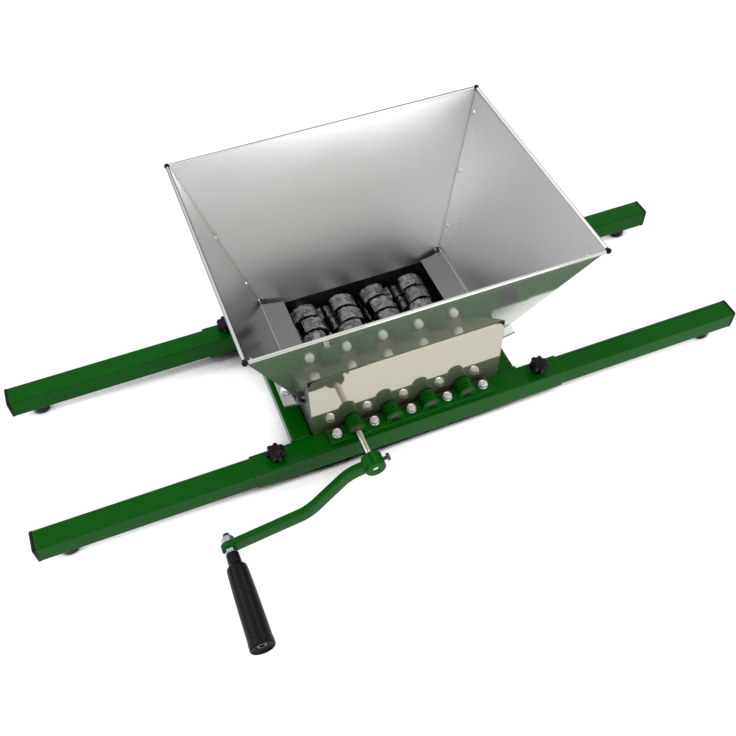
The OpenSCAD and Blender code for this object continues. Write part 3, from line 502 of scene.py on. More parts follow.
def bumped(tree, height, strength, distance, normal=None):
    """A Bump node whose height is in metres times a distance."""
    inputs = {"Strength": strength, "Distance": distance, "Height": height}
    if normal is not None:
        inputs["Normal"] = normal
    return add(tree, "Bump", inputs).outputs["Normal"]


def both_shaders(tree, share, first, second):
    """Puts a mix of two shaders on a material's output."""
    mix = add(tree, "MixShader", {0: share, 1: first.outputs[0], 2: second.outputs[0]})
    put(tree, tree.nodes["Material Output"], {"Surface": mix.outputs[0]})


def object_coordinates(tree, stretch=(1.0, 1.0, 1.0)):
    """Object coordinates, stretched along the axes."""
    where = add(tree, "TexCoord").outputs["Object"]
    return add(tree, "Mapping", {"Scale": stretch, "Vector": where}).outputs["Vector"]


def shaded(colour, share):
    """A colour times a share."""
    return tuple(c * share for c in colour)


# Effects that several materials share


def node_group(name, inputs, outputs):
    """An empty shader node group; an input is a name, socket type and default."""
    group = bpy.data.node_groups.new(name, "ShaderNodeTree")
    for label, kind, default in inputs:
        socket = group.interface.new_socket(label, in_out="INPUT", socket_type="NodeSocket" + kind)
        if default is not None:
            socket.default_value = default
    for label, kind in outputs:
        group.interface.new_socket(label, in_out="OUTPUT", socket_type="NodeSocket" + kind)
    return group, group.nodes.new("NodeGroupInput").outputs, group.nodes.new("NodeGroupOutput")


def edge_group():
    """Edge: 1 along sharp edges and 0 on flats, where a rounded normal leaves the true one."""
    group, given, outlet = node_group("Rounded edges", [("Radius", "Float", 0.0006)],
                                      [("Normal", "Vector"), ("Edge", "Float")])
    rounded = add(group, "Bevel", {"Radius": given["Radius"]}, samples=6).outputs["Normal"]
    true = add(group, "NewGeometry").outputs["Normal"]
    dot = add(group, "VectorMath", {0: rounded, 1: true}, operation="DOT_PRODUCT")
    put(group, outlet, {"Normal": rounded, "Edge": ranged(group, dot.outputs["Value"], 0.99, 0.80)})
    return group


def speckle_group():
    """Grain: fine noise of a given size. Cloud: broad noise for smudges and uneven colour."""
    group, given, outlet = node_group(
        "Grain and cloud", [("Vector", "Vector", None), ("Grain size", "Float", 700.0),
                            ("Cloud size", "Float", 14.0)],
        [("Grain", "Float"), ("Cloud", "Float")])
    for out, detail, rough in (("Grain", 3.0, 0.5), ("Cloud", 5.0, 0.6)):
        noise = add(group, "TexNoise", {"Vector": given["Vector"], "Scale": given[out + " size"],
                                        "Detail": detail, "Roughness": rough})
        put(group, outlet, {out: noise.outputs["Fac"]})
    return group


def brush_group():
    """Lines: fine rolling lines along one axis of the coordinates, as polished sheet has."""
    group, given, outlet = node_group("Rolled lines", [("Vector", "Vector", None)],
                                      [("Lines", "Float")])
    noise = add(group, "TexNoise", {"Vector": given["Vector"], "Scale": 1.0, "Detail": 2.0})
    put(group, outlet, {"Lines": noise.outputs["Fac"]})
    return group


def hollow_group():
    """Open: 1 where a surface sees all of its surroundings, and 0 in narrow hollows; it masks painted shade."""
    group, given, outlet = node_group(
        "Hollows", [("From", "Float", 0.3), ("To", "Float", 0.7), ("Distance", "Float", 0.02)],
        [("Open", "Float")])
    seen = add(group, "AmbientOcclusion", {"Distance": given["Distance"]}, samples=12)
    put(group, outlet, {"Open": ranged(group, seen.outputs["AO"], given["From"], given["To"])})
    return group


def make_groups():
    """The effects that several materials share."""
    return {"edge": edge_group(), "speckle": speckle_group(), "brush": brush_group(),
            "hollow": hollow_group()}


def placed_group(tree, group, inputs):
    """The outputs of a node group in a material, with its own values."""
    return add(tree, "Group", inputs, node_tree=group).outputs


def speckled(tree, groups, grain, cloud):
    """The outputs Grain and Cloud, at the given sizes."""
    return placed_group(tree, groups["speckle"], {"Vector": object_coordinates(tree),
                                                  "Grain size": grain, "Cloud size": cloud})


def with_painted_shade(tree, groups, surface, painted_shade, shut, free, distance):
    """A surface's colour, with painted shade: a darker colour in hollows narrower than a distance."""
    hollow = placed_group(tree, groups["hollow"], {"From": shut, "To": free, "Distance": distance})
    return mixed(tree, hollow["Open"], painted_shade, surface)


# Finishes


def finish(name, colour, metallic, roughness, specular=0.5):
    """A material with a Principled shader; values that never change are set on its sockets."""
    material = bpy.data.materials.new(name)
    material.use_nodes = True
    tree = material.node_tree
    shader = put(tree, tree.nodes["Principled BSDF"], {
        "Base Color": colour, "Metallic": metallic, "Roughness": roughness,
        "Specular IOR Level": specular})
    return material, tree, shader


def paint_finish(name, groups, colour, edge_highlight):
    """Sprayed gloss paint: a slight orange peel, lighter along the edges as a painted highlight, and painted shade
    in deep hollows.
    """
    _, tree, shader = finish(name, colour, 0.0, 0.24, specular=0.09)
    edge = placed_group(tree, groups["edge"], {"Radius": 0.0013})
    speckle = speckled(tree, groups, 420.0, 9.0)
    faded = mixed(tree, ranged(tree, speckle["Cloud"], 0.35, 0.7), colour,
                  tuple(c * 1.18 + 0.001 for c in colour))
    # Lighter paint along the edges: a painted highlight.
    edged = mixed(tree, ranged(tree, edge["Edge"], 0.0, 1.0, 0.0, 0.8), faded, edge_highlight)
    put(tree, shader, {
        # Painted shade: the paint goes dark in hollows within 0.12 m, such as the roller pit.
        "Base Color": with_painted_shade(tree, groups, edged, shaded(colour, 0.06), 0.05, 0.35, 0.12),
        "Roughness": ranged(tree, speckle["Cloud"], 0.3, 0.7, 0.17, 0.28),
        "Normal": bumped(tree, speckle["Grain"], 0.10, 0.0004, edge["Normal"])})


def hemmed(tree, surface, colour, hem):
    """A surface with a rolled hem at the rim, with painted shade where its round side turns away from the view."""
    facing = add(tree, "LayerWeight").outputs["Facing"]
    # Painted shade: the hem goes dark as its face turns away from the view.
    rolled = mixed(tree, ranged(tree, facing, hem, hem + 0.3), colour, shaded(colour, 0.04))
    height = add(tree, "SeparateXYZ", {0: object_coordinates(tree)}).outputs["Z"]
    return mixed(tree, ranged(tree, height, HEM_Z * MM, (HEM_Z + HEM_OVER) * MM), surface, rolled)


def sheet_finish(name, groups, colour, rough, stretch, depth=0.012, haze=0.0, hem=None):
    """Stainless sheet: rolling lines along its length, faint smudges, painted shade in narrow corners.

    A polished sheet mirrors its surroundings sharply under a share of haze. A hem's painted
    shade starts where it turns away by more than the given share.
    """
    _, tree, shader = finish(name, colour, 1.0, rough)
    if haze:
        veil = add(tree, "BsdfPrincipled", {"Base Color": colour, "Metallic": 1.0,
                                            "Roughness": 0.55})
        both_shaders(tree, haze, shader, veil)
    lines = placed_group(tree, groups["brush"],
                         {"Vector": object_coordinates(tree, stretch)})["Lines"]
    cloud = speckled(tree, groups, 900.0, 11.0)["Cloud"]
    surface = mixed(tree, ranged(tree, cloud, 0.3, 0.75), shaded(colour, 0.95), colour)
    if hem is not None:
        surface = hemmed(tree, surface, colour, hem)
    put(tree, shader, {
        # Painted shade: the sheet goes dark in corners narrower than 12 mm.
        "Base Color": with_painted_shade(tree, groups, surface, shaded(colour, 0.12), 0.3, 0.62, 0.012),
        "Roughness": worked(tree, "ADD", ranged(tree, lines, 0.3, 0.7, rough * 0.95, rough * 1.05),
                            ranged(tree, cloud, 0.3, 0.7, -rough * 0.1, rough * 0.16)),
        "Normal": bumped(tree, lines, depth, 0.0001)})


def cast_finish(name, groups, colour, polished, dull):
    """Cast iron: a sandy skin with painted shade in its hollows, and edges lighter, partly rubbed bright and
    partly a painted highlight.
    """
    _, tree, shader = finish(name, colour, 0.9, 0.36)
    edge = placed_group(tree, groups["edge"], {"Radius": 0.0009})
    speckle = speckled(tree, groups, 420.0, 110.0)
    skin = mixed(tree, ranged(tree, speckle["Cloud"], 0.3, 0.7), dull, colour)
    # Lighter edges: partly rubbed bright, partly a painted highlight.
    edged = mixed(tree, edge["Edge"], skin, polished)
    lumps = bumped(tree, speckle["Cloud"], 1.0, 0.005, edge["Normal"])
    put(tree, shader, {
        # Painted shade: dark in hollows within 22 mm, between the claws.
        "Base Color": with_painted_shade(tree, groups, edged, shaded(colour, 0.05), 0.3, 0.92, 0.022),
        "Roughness": ranged(tree, speckle["Cloud"], 0.3, 0.7, 0.20, 0.38),
        "Normal": bumped(tree, speckle["Grain"], 0.6, 0.0012, lumps)})


def plated_finish(name, groups, colour, rough):
    """Plated or turned steel: smooth, with a faint cloud and soft edges."""
    _, tree, shader = finish(name, colour, 1.0, rough)
    edge = placed_group(tree, groups["edge"], {"Radius": 0.0004})
    speckle = speckled(tree, groups, 1500.0, 120.0)
    put(tree, shader, {
        "Base Color": mixed(tree, speckle["Cloud"], shaded(colour, 0.86), colour),
        "Roughness": ranged(tree, speckle["Cloud"], 0.3, 0.7, rough - 0.05, rough + 0.08),
        "Normal": bumped(tree, speckle["Grain"], 0.06, 0.0002, edge["Normal"])})


def moulded_finish(name, groups, colour, rough):
    """Moulded black plastic: an even fine texture, greyed slightly along its edges as a painted highlight."""
    _, tree, shader = finish(name, colour, 0.0, rough, specular=0.16)
    edge = placed_group(tree, groups["edge"], {"Radius": 0.0006})
    speckle = speckled(tree, groups, 1300.0, 30.0)
    put(tree, shader, {
        # Painted highlight: grey along the edges.
        "Base Color": mixed(tree, ranged(tree, edge["Edge"], 0.0, 1.0, 0.0, 0.5), colour,
                            tuple(c * 2.2 + 0.004 for c in colour)),
        "Roughness": ranged(tree, speckle["Cloud"], 0.3, 0.7, rough - 0.06, rough + 0.08),
        "Normal": bumped(tree, speckle["Grain"], 0.1, 0.0002, edge["Normal"])})


FINISH_OF_SLOT = {
    "green_paint": "Green gloss paint", "stainless_sheet": "Satin sheet",
    "cast_iron": "Cast iron", "zinc_plate": "Zinc plate", "bright_steel": "Bright steel",
    "bronze": "Bronze", "black_plastic": "Black plastic",
}
FINISH_OF_NODE = {
    # Stainless copies per panel, each lit or shaded to the light it gets: painted light and shade.
    "hopper_front_panel": "Hazy sheet", "hopper_left_panel": "Smooth sheet",
    "hopper_right_panel": "Bright sheet", "throat_front_plate": "Polished sheet",
    "hopper_rivets": "Satin sheet",
    **dict.fromkeys(("throat_rear_plate", "throat_left_wall", "throat_right_wall",
                     "left_guard", "right_guard"), "Dull sheet"),
    # Dark steel on the second to fourth shafts paints the shade at the fronts of the bearing humps.
    **dict.fromkeys(("second_shaft", "third_shaft", "fourth_shaft"), "Dark steel"),
}
# Stretches of the rolling lines: round the hopper, along the rails, and fine
ROUND_HOPPER, ALONG_RAILS, FINE = (8.0, 8.0, 420.0), (8.0, 420.0, 8.0), (8.0, 8.0, 900.0)


# What a user would change


def tone(name, description, default):
    """A colour."""
    return FloatVectorProperty(name=name, description=description, subtype="COLOR",
                               default=default, min=0, max=1)


def distance(name, description, default, **limits):
    """A length or a place, in metres."""
    return FloatProperty(name=name, description=description, unit="LENGTH", default=default,
                         **limits)


def strength(name, description, default, most):
    """The strength of a light."""
    return FloatProperty(name=name, description=description, default=default, min=0, max=most)


class ScratterFinishes(PropertyGroup):
    """Colours of the finishes."""

    paint: tone("Paint", "Colour of the gloss paint", (0.0003, 0.082, 0.0012))
    # Lighter paint along the edges, a painted highlight.
    paint_edge_highlight: tone("Paint edge highlight", "Paint along the edges", (0.01, 0.27, 0.018))
    sheet: tone("Sheet", "Colour of the stainless sheet", (0.87, 0.87, 0.88))
    cast: tone("Cast iron", "Colour of claws and gears", (0.45, 0.45, 0.455))
    plastic: tone("Plastic", "Colour of knobs, caps and grip", (0.0025, 0.0025, 0.003))


class ScratterShapes(PropertyGroup):
    """Sizes of the fine shapes."""

    claw_ridges: IntProperty(name="Claw ridges", description="Ridges on the crown of each claw",
                             default=4, min=1, max=8)
    ridge_depth: distance("Ridge depth", "Depth of the grooves between the ridges", 0.001,
                          min=0, max=0.003)
    cast_rough: distance("Cast unevenness", "How uneven the cast claws are", 0.00045,
                         min=0, max=0.001)
    knob_lobes: IntProperty(name="Knob lobes", description="Lobes of each star knob",
                            default=7, min=3, max=12)
    knob_valley: distance("Knob valleys", "Depth between the lobes", 0.0028, min=0, max=0.006)
    weld: distance("Weld", "Radius of the weld beads", 0.0016, min=0, max=0.003)


class ScratterStudio(PropertyGroup):
    """Camera and light."""

    lens: FloatProperty(name="Lens", description="Focal length of the camera, in millimetres",
                        default=43.607, min=20, max=120)
    camera_x: distance("Camera X", "Where the camera stands", -0.26492)
    camera_y: distance("Camera Y", "Where the camera stands, from the rails' middle plane",
                       -0.68281)
    camera_z: distance("Camera Z", "Where the camera stands", 0.92912)
    light: strength("Ceiling", "Strength of the white surroundings overhead", 0.95, 3)
    horizon: strength("Horizon", "Strength of the white surroundings at the horizon", 0.80, 3)
    key: strength("Front softbox", "Power of the lamp in front, in watts", 5.0, 200)
    side: strength("Side softbox", "Power of the lamp at the left, in watts", 3.0, 200)
    top: strength("Top lamp", "Power of the small lamp overhead, in watts", 3.0, 200)


# The camera's turn about X, Y and Z in degrees, and the point that the lamps face, in metres
CAMERA_TURN, LAMP_AIM = (38.42234, 1.11181, -21.47862), (0, 0.05, 0.1)


# Steps


class SCRATTER_OT_finishes(Operator):
    """Make the finishes and put them on the frame's own solids"""

    bl_idname = "scratter.finishes"
    bl_label = "Finishes"

    def execute(self, context):
        tones = context.scene.scratter_finishes
        groups = make_groups()
        sheet, plastic = tuple(tones.sheet), tuple(tones.plastic)
        paint_finish("Green gloss paint", groups, tuple(tones.paint), tuple(tones.paint_edge_highlight))
        # Lighter and darker copies of one stainless sheet: each share paints the light or shade of its panels.
        for name, share, rough, stretch, hem in (
                ("Satin sheet", 1.0, 0.31, ROUND_HOPPER, 0.1),
                ("Bright sheet", 1.12, 0.31, ROUND_HOPPER, 0.36),
                ("Smooth sheet", 0.74, 0.16, ROUND_HOPPER, 0.36),
                ("Dull sheet", 0.3, 0.38, ALONG_RAILS, None),
                ("Stained sheet", 0.06, 0.45, ALONG_RAILS, None)):
            sheet_finish(name, groups, shaded(sheet, share), rough, stretch, hem=hem)
        # Polished and hazy sheet take tints from the colours mirrored in them, warm on the throat plate: painted
        # reflection.
        sheet_finish("Polished sheet", groups, (0.60, 0.57, 0.48), 0.045, FINE, 0.006, 0.22)
        sheet_finish("Hazy sheet", groups, (0.72, 0.74, 0.69), 0.05, FINE, 0.006, 0.20, 0.36)
        cast_finish("Cast iron", groups, tuple(tones.cast), (0.9, 0.9, 0.91), (0.05, 0.05, 0.05))
        for name, colour, rough in (("Zinc plate", (0.97, 0.975, 0.985), 0.34),
                                    ("Bright steel", (0.78, 0.74, 0.70), 0.16),
                                    ("Dark steel", (0.12, 0.12, 0.13), 0.3),
                                    ("Blue zinc", (0.46, 0.50, 0.56), 0.16),
                                    ("Bronze", (0.16, 0.10, 0.07), 0.4)):
            plated_finish(name, groups, colour, rough)
        moulded_finish("Black plastic", groups, plastic, 0.24)
        moulded_finish("Grip plastic", groups, plastic, 0.38)
        slots = {s["node"]: s["material_slot"] for s in frame["record"]["subparts"]}
        for name, solid in NODES.items():
            chosen = FINISH_OF_NODE.get(name, FINISH_OF_SLOT[slots[name]])
            solid.data.materials.clear()
            solid.data.materials.append(bpy.data.materials[chosen])
            solid.data.shade_smooth()
            solid.data.set_sharp_from_angle(angle=math.radians(25))
        return {"FINISHED"}


class SCRATTER_OT_wheels(Operator):
    """Cast the clawed crushing wheels of the four rollers"""

    bl_idname = "scratter.wheels"
    bl_label = "Crushing wheels"

    def execute(self, context):
        shapes = context.scene.scratter_shapes
        outline = claw_outline(shapes.claw_ridges, shapes.ridge_depth / MM)
        for i, (name, turns) in enumerate(zip(ROLLERS, WHEEL_TURN)):
            parts = []
            for k, turn in enumerate(turns):
                y = (k - (len(turns) - 1) / 2) * WHEEL_PITCH
                parts += claw_wheel(outline, turn * CLAW_STEP, i % 2 == 0, y,
                                    shapes.cast_rough / MM, len(turns) * i + k + 1)
            mesh_piece(f"{name}_crushing_wheels", moved(parts, placed(ROLLER_X[i], 0, SHAFT_Z)),
                       "cast_iron", f"{name}_roller", [f"{name}_wheels"], 32.0)
        return {"FINISHED"}


class SCRATTER_OT_knobs(Operator):
    """Mould the four star knobs"""

    bl_idname = "scratter.knobs"
    bl_label = "Star knobs"

    def execute(self, context):
        shapes = context.scene.scratter_shapes
        for name, sx, sy in CORNERS:
            low, high = corners_of(f"{name}_knob")
            x, y, _ = (low + high) / 2
            _, width, height = high - low
            shape = star_knob(width, height, shapes.knob_lobes, shapes.knob_valley / MM)
            at = placed(x, y - RAIL_PLANE, low[2], 17.0 * sx + 9.0 * sy)
            mesh_piece(f"{name}_star_knob", moved([shape], at), "black_plastic",
                       f"{name}_clamp", [f"{name}_knob"])
        return {"FINISHED"}


class SCRATTER_OT_crank(Operator):
    """Forge the crank arm with its hub, eye and set screw"""

    bl_idname = "scratter.crank"
    bl_label = "Crank arm"

    def execute(self, context):
        weld = context.scene.scratter_shapes.weld / MM
        at = crank_matrix()
        hub = softened([(SHAFT_R, HUB_NEAR + 0.4), (HUB_R, HUB_NEAR), (HUB_R, HUB_FAR),
                        (SHAFT_R, HUB_FAR - 0.4)], 1.8, 5)
        rim = np.concatenate([hub, [(SHAFT_R, HUB_FAR - 2.0), (SHAFT_R, HUB_NEAR + 2.0)]])
        parts = [crank_bar()] + moved([looped(turned(rim, 64))], spun(-90, "X"))
        # Beads up both faces of the bar where it meets the hub, then across both its edges
        half = BAR_H / 2 - 0.5
        w, v = np.linspace(-1, 1, 40) * half, HUB_MIDDLE + np.linspace(-BAR_T / 2, BAR_T / 2, 12)
        for side in (-1, 1):
            face = HUB_MIDDLE + side * BAR_T / 2
            parts.append(bead(np.stack([np.sqrt(HUB_R ** 2 - w ** 2), 0 * w + face, w], -1), weld))
        for side in (-1, 1):
            reach = math.sqrt(HUB_R ** 2 - half ** 2)
            parts.append(bead(np.stack([0 * v + reach, v, 0 * v + side * half], -1), weld))
        mesh_piece("crank_bar_and_hub", moved(parts, at), "green_paint", "drive_roller",
                   ["crank_arm"])
        out = Matrix.Translation((0, HUB_MIDDLE, 0)) @ spun(-90, "Y")
        foot, rise = SHAFT_R + 0.05, HUB_R + SCREW_GAP
        screw = lifted(threaded(SCREW_R, rise + 0.3 - foot, 0.8, 0.3), foot) \
            + lifted(hex_piece(SCREW_FLATS, SCREW_HEAD), rise)
        mesh_piece("hub_set_screw", moved(screw, at @ out), "bright_steel", "drive_roller",
                   ["crank_set_screw"], finish_name="Dark steel")
        return {"FINISHED"}


class SCRATTER_OT_grip(Operator):
    """Turn the grip, its bolt and its nuts"""

    bl_idname = "scratter.grip"
    bl_label = "Grip"

    def execute(self, context):
        at = crank_matrix() @ Matrix.Translation((CRANK_R, 0, 0)) @ spun(-90, "X")
        bore, near, far = GRIP_BOLT_R + 0.2, GRIP_NEAR, GRIP_FAR
        # The body tapers, and swells by the sine of pi times the root of the share of its length
        s = np.linspace(0, 1, 48)
        start, stop = near + 17.5, far - 10.0
        body = np.stack([11.3 + 2.5 * s + 0.7 * np.sin(np.pi * np.sqrt(s)),
                         start + (stop - start) * s], -1)
        neck = softened([(bore, near + 0.8), (bore, near), (7.5, near), (7.8, near + 14.4),
                         (9.6, near + 15.6), tuple(body[0])], 1.2, 4)
        rim = softened([tuple(body[-1]), (14.1, far - 9.2), (14.25, far - 1.4), (13.4, far),
                        (12.2, far), (11.4, far - 2.2), (7.6, far - 3.0), (6.9, far - 3.8),
                        (6.8, far - 10.0), (bore, far - 10.0), (bore, far - 12.0)], 0.6, 3)
        shape = looped(turned(np.concatenate([neck, body[1:-1], rim]), 72))
        mesh_piece("turning_grip", moved([shape], at), "black_plastic", "grip", ["grip"], 50.0,
                   finish_name="Grip plastic")

        front = HUB_MIDDLE + BAR_OFFSET + BAR_T / 2
        back, shank_r = front - BAR_T, GRIP_BOLT_R - 0.05
        shank = capped(turned([(shank_r, back - BACK_NUT_H), (shank_r, far - 9.0)], 32))
        tail = lifted(threaded(GRIP_BOLT_R, 14.0, 1.25, 0.45), back - 13.0)
        a = around(36)
        socket = hexagon_reach(a, 5.8)
        head = capped(np.stack([ring(r, z, a) for r, z in (
            (3.0, 0), (6.2, 0), (6.4, 0.3), (6.4, 5.9), (6.0, 6.4), (socket, 6.4), (socket, 3.0))]))
        # The bolt's dark steel paints shade on its head in the grip's end recess.
        mesh_piece("grip_bolt", moved([shank] + tail + lifted(head, far - 9.7), at),
                   "bright_steel", "drive_roller", ["handle_bolt"], finish_name="Dark steel")
        thread = GRIP_BOLT_R + 0.02
        nuts = lifted(hex_piece(GRIP_FLATS, FRONT_NUT_H, thread), front) \
            + lifted(hex_piece(GRIP_FLATS, BACK_NUT_H, thread), back - BACK_NUT_H)
        mesh_piece("grip_nuts", moved(nuts, at), "zinc_plate", "drive_roller", ["handle_nuts"],
                   finish_name="Blue zinc")
        return {"FINISHED"}


class SCRATTER_OT_bolts(Operator):
    """Fit the bolts, nuts and washers of the bearing strips and of the hopper's seat"""

    bl_idname = "scratter.bolts"
    bl_label = "Bolts and washers"

    def execute(self, context):
        lands = [placed(x, BOLT_Y, LAND_Z, 13.0 * k * side, (1, side, 1))
                 for side in (-1, 1) for k, x in enumerate(BOLT_X, 1)]
        x, y, z = SEAT_BOLT
        seat = [placed(x, y + k * SEAT_PITCH, z, flip=(side, 1, 1)) @ spun(-SEAT_TILT, "Y")
                @ Matrix.Translation((0, 0, SHEET)) @ spun(23.0 * k + 11 * side, "Z")
                for side in (-1, 1) for k in (-1, 0, 1)]
        nut = lifted(hex_piece(BOLT_FLATS, NUT_H, BOLT_D / 2 + 0.02), -3 * SHEET - NUT_H)
        for name, parts, places, node in (
                ("bearing_hex_bolts", bolt(LAND_SHANK), lands, "bearing_bolts"),
                ("seat_hex_bolts", bolt(3 * SHEET + NUT_H + 1.5), seat, "hopper_bolts"),
                ("seat_hex_nuts", nut, seat, "hopper_nuts"),
                ("flat_washers", [washer()], lands + seat, "washers")):
            mesh_piece(name, [p for m in places for p in moved(parts, m)], "zinc_plate", "frame",
                       [node])
        return {"FINISHED"}


class SCRATTER_OT_ends(Operator):
    """Mould the end caps of the four arms"""

    bl_idname = "scratter.ends"
    bl_label = "End caps"

    def execute(self, context):
        rows = [  # place along the arm, half width and corner radius
            (-CAP_DEPTH, 11.2, 1.0), (-CAP_DEPTH, 11.6, 0.8), (0.0, 11.6, 0.8),
            (0.0, CAP_HALF - 0.2, CAP_CORNER), (0.25, CAP_HALF, CAP_CORNER),
            (CAP_T - 1.5, CAP_HALF, CAP_CORNER), (CAP_T - 0.7, CAP_HALF - 0.25, CAP_CORNER),
            (CAP_T - 0.2, CAP_HALF - 0.8, CAP_CORNER), (CAP_T, CAP_HALF - 1.7, CAP_CORNER),
            (CAP_T, CAP_HALF - 3.2, CAP_CORNER - 1.0)]
        shape = plated(np.stack([np.insert(rounded_box(half, half, corner, 5), 0, x, 1)
                                 for x, half, corner in rows]))
        for name, sx, _ in CORNERS:
            low, high = corners_of(f"{name}_cap")
            _, y, z = (low + high) / 2
            end = high[0] if sx > 0 else -low[0]
            at = placed(end - CAP_T, y - RAIL_PLANE, z, flip=(sx, 1, 1))
            mesh_piece(f"{name}_end_cap", moved([shape], at), "black_plastic", f"{name}_arm",
                       [f"{name}_cap"])
        return {"FINISHED"}


class SCRATTER_OT_welds(Operator):
    """Lay the weld beads between the cross members and the rails"""

    bl_idname = "scratter.welds"
    bl_label = "Welds"

    def execute(self, context):
        weld = context.scene.scratter_shapes.weld / MM
        # A cross member's sides, top and bottom. The gap keeps beads out of the rails' tubes
        inner, outer, top, bottom, gap = 124.8, 148.0, RAIL_TOP - 0.2, RAIL_TOP - 25.0, 0.9
        parts = []
        for sx in (-1, 1):
            for sy in (-1, 1):
                y = sy * (RAIL_IN_Y - gap)
                parts.append(bead([(sx * inner, y, top), (sx * outer, y, top),
                                   (sx * outer, y, bottom), (sx * inner, y, bottom)], weld))
        mesh_piece("frame_welds", parts, "green_paint", "frame")
        return {"FINISHED"}


class SCRATTER_OT_tabs(Operator):
    """Fold the small tabs that close the hopper's rear corners, behind the guards"""

    bl_idname = "scratter.tabs"
    bl_label = "Corner tabs"

    def execute(self, context):
        near, low, rise, thick = 88.5, 91.4, 0.3, 0.8
        tab = []
        # The inner part of a tab ends short of the rear panel's tongue
        for x0, x1, far in ((117.0, 120.2, 93.4), (120.3, 125.3, 96.9)):
            high = low + rise * (far - near)
            profile = softened([(near, low), (far - 1.5, high - 1.5 * rise), (far, high),
                                (far, high + thick), (far - 2.0, high + thick - 2.0 * rise),
                                (near, low + thick)], 0.5, 3)
            tab.append(plated(np.stack([np.insert(profile, 0, x, 1)
                                        for x in (x0, x0 + 0.2, x1 - 0.2, x1)])))
        both = [p for side in (-1, 1) for p in moved(tab, placed(0, 0, 0, flip=(side, 1, 1)))]
        # Near-black sheet on the tabs paints the shade between the guards and the rear panel.
        mesh_piece("rear_corner_tabs", both, "stainless_sheet", "frame",
                   finish_name="Stained sheet")
        return {"FINISHED"}


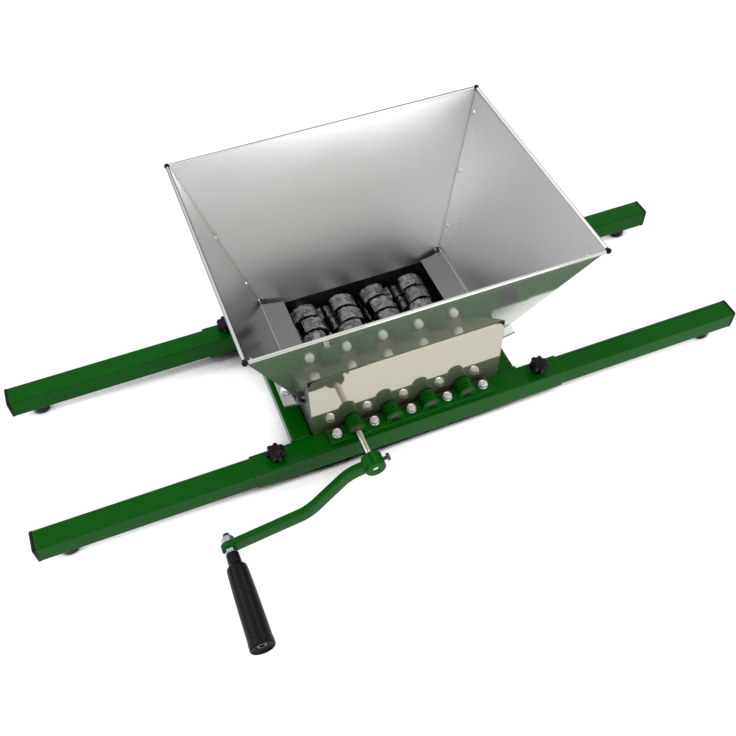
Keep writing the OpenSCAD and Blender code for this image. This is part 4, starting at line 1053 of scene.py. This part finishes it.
class SCRATTER_OT_stage(Operator):
    """Set up the camera, the lamps and the white floor"""

    bl_idname = "scratter.stage"
    bl_label = "Studio"

    def execute(self, context):
        scene = context.scene
        studio = scene.scratter_studio
        lens = bpy.data.cameras.new("Camera")
        lens.sensor_width = 36.0
        lens.lens = studio.lens
        lens.clip_start = 0.01
        camera = bpy.data.objects.new("Camera", lens)
        camera.location = (studio.camera_x, studio.camera_y + RAIL_PLANE * MM, studio.camera_z)
        camera.rotation_euler = [math.radians(a) for a in CAMERA_TURN]
        scene.collection.objects.link(camera)
        scene.camera = camera
        scene.view_settings.view_transform = "Standard"
        self.white_floor(scene)
        self.white_room(scene, studio.light, studio.horizon)
        for name, place, size, power in (("Front softbox", (0.5, -1.4, 0.45), 0.5, studio.key),
                                         ("Side softbox", (-1.35, 0.6, 1.15), 0.5, studio.side),
                                         ("Top lamp", (-0.55, -0.25, 1.6), 0.3, studio.top)):
            lamp = bpy.data.lights.new(name, "AREA")
            lamp.size = size
            lamp.energy = power
            made = bpy.data.objects.new(name, lamp)
            made.location = place
            way = Vector(LAMP_AIM) - Vector(place)
            made.rotation_euler = way.to_track_quat("-Z", "Y").to_euler()
            scene.collection.objects.link(made)
        return {"FINISHED"}

    def white_floor(self, scene):
        """A floor that camera and reflections see as pure white, apart from the shadow on it.

        Where the machine shuts out most of the sky above the floor, in its pit, the glow dies
        away and the floor's colour turns black: painted shade in the pit.
        """
        half, white, black = 6, (0.82, 0.82, 0.82), (0.0, 0.0, 0.0)
        # Strength and share of the glow, reach of the look at the sky, and where the glow fades
        glow, share, reach, shut, free = 1.13, 0.88, 0.35, 0.28, 0.42
        mesh = bpy.data.meshes.new("floor")
        mesh.from_pydata([(-half, -half, 0), (half, -half, 0), (half, half, 0), (-half, half, 0)],
                         [], [(0, 1, 2, 3)])
        floor = bpy.data.objects.new("floor", mesh)
        scene.collection.objects.link(floor)
        material, tree, shader = finish("White floor", white, 0.0, 0.9)
        # Painted shade in the pit: colour and glow fade out where the floor sees little sky.
        sky = add(tree, "AmbientOcclusion", {"Distance": reach}, samples=32).outputs["AO"]
        put(tree, shader, {"Base Color": mixed(tree, ranged(tree, sky, shut, free), black, white)})
        lit = add(tree, "Emission", {"Color": (1, 1, 1),
                                     "Strength": ranged(tree, sky, shut, free, 0.0, glow)})
        path = add(tree, "LightPath").outputs
        seen = worked(tree, "MAXIMUM", path["Is Camera Ray"], path["Is Glossy Ray"])
        both_shaders(tree, worked(tree, "MULTIPLY", seen, share), shader, lit)
        mesh.materials.append(material)

    def white_room(self, scene, ceiling, horizon):
        """White surroundings: full white to the camera, a light ceiling over a dimmer horizon.

        Other rays find the front dimmer still, by up to half, as the direction turns to -Y, and
        less so towards +X.
        """
        world = bpy.data.worlds.new("White room")
        scene.world = world
        world.use_nodes = True
        tree = world.node_tree
        path = add(tree, "LightPath").outputs
        seen = worked(tree, "MAXIMUM", path["Is Camera Ray"], path["Is Transmission Ray"])
        where = add(tree, "TexCoord").outputs["Generated"]
        way = add(tree, "SeparateXYZ", {0: where}).outputs
        sky = ranged(tree, way["Z"], 0.05, 0.6, horizon, ceiling, interpolation_type="SMOOTHSTEP")
        dim = worked(tree, "MULTIPLY", ranged(tree, way["Y"], 0.1, -0.6),
                     ranged(tree, way["X"], 0.0, 0.3, 0.5, 0.0))
        lit = worked(tree, "MULTIPLY", sky, worked(tree, "SUBTRACT", 1.0, dim))
        put(tree, tree.nodes["Background"], {"Color": (1, 1, 1),
                                             "Strength": ranged(tree, seen, 0.0, 1.0, lit, 1.0)})


class SCRATTER_PT_panel(Panel):
    """The scratter's pieces and finishes"""

    bl_idname = "SCRATTER_PT_panel"
    bl_label = "Scratter"
    bl_space_type = "VIEW_3D"
    bl_region_type = "UI"
    bl_category = "Scratter"

    def draw(self, context):
        scene = context.scene
        for group in (scene.scratter_finishes, scene.scratter_shapes, scene.scratter_studio):
            box = self.layout.box()
            for key in group.__annotations__:
                box.prop(group, key)
        for step in STEPS:
            self.layout.operator(step.bl_idname)


GROUPS = (ScratterFinishes, ScratterShapes, ScratterStudio)
STEPS = (SCRATTER_OT_finishes, SCRATTER_OT_wheels, SCRATTER_OT_knobs, SCRATTER_OT_crank,
         SCRATTER_OT_grip, SCRATTER_OT_bolts, SCRATTER_OT_ends, SCRATTER_OT_welds,
         SCRATTER_OT_tabs, SCRATTER_OT_stage)


def register():
    """Adds the property groups, the operators and the panel."""
    for group in (*GROUPS, *STEPS, SCRATTER_PT_panel):
        bpy.utils.register_class(group)
    bpy.types.Scene.scratter_finishes = PointerProperty(type=ScratterFinishes)
    bpy.types.Scene.scratter_shapes = PointerProperty(type=ScratterShapes)
    bpy.types.Scene.scratter_studio = PointerProperty(type=ScratterStudio)


def unregister():
    """Takes them away again."""
    del bpy.types.Scene.scratter_studio
    del bpy.types.Scene.scratter_shapes
    del bpy.types.Scene.scratter_finishes
    for group in reversed((*GROUPS, *STEPS, SCRATTER_PT_panel)):
        bpy.utils.unregister_class(group)


def main():
    """Dresses the frame from start to end."""
    register()
    bpy.ops.scratter.finishes()
    bpy.ops.scratter.wheels()
    bpy.ops.scratter.knobs()
    bpy.ops.scratter.crank()
    bpy.ops.scratter.grip()
    bpy.ops.scratter.bolts()
    bpy.ops.scratter.ends()
    bpy.ops.scratter.welds()
    bpy.ops.scratter.tabs()
    bpy.ops.scratter.stage()


if __name__ == "__main__":
    main()
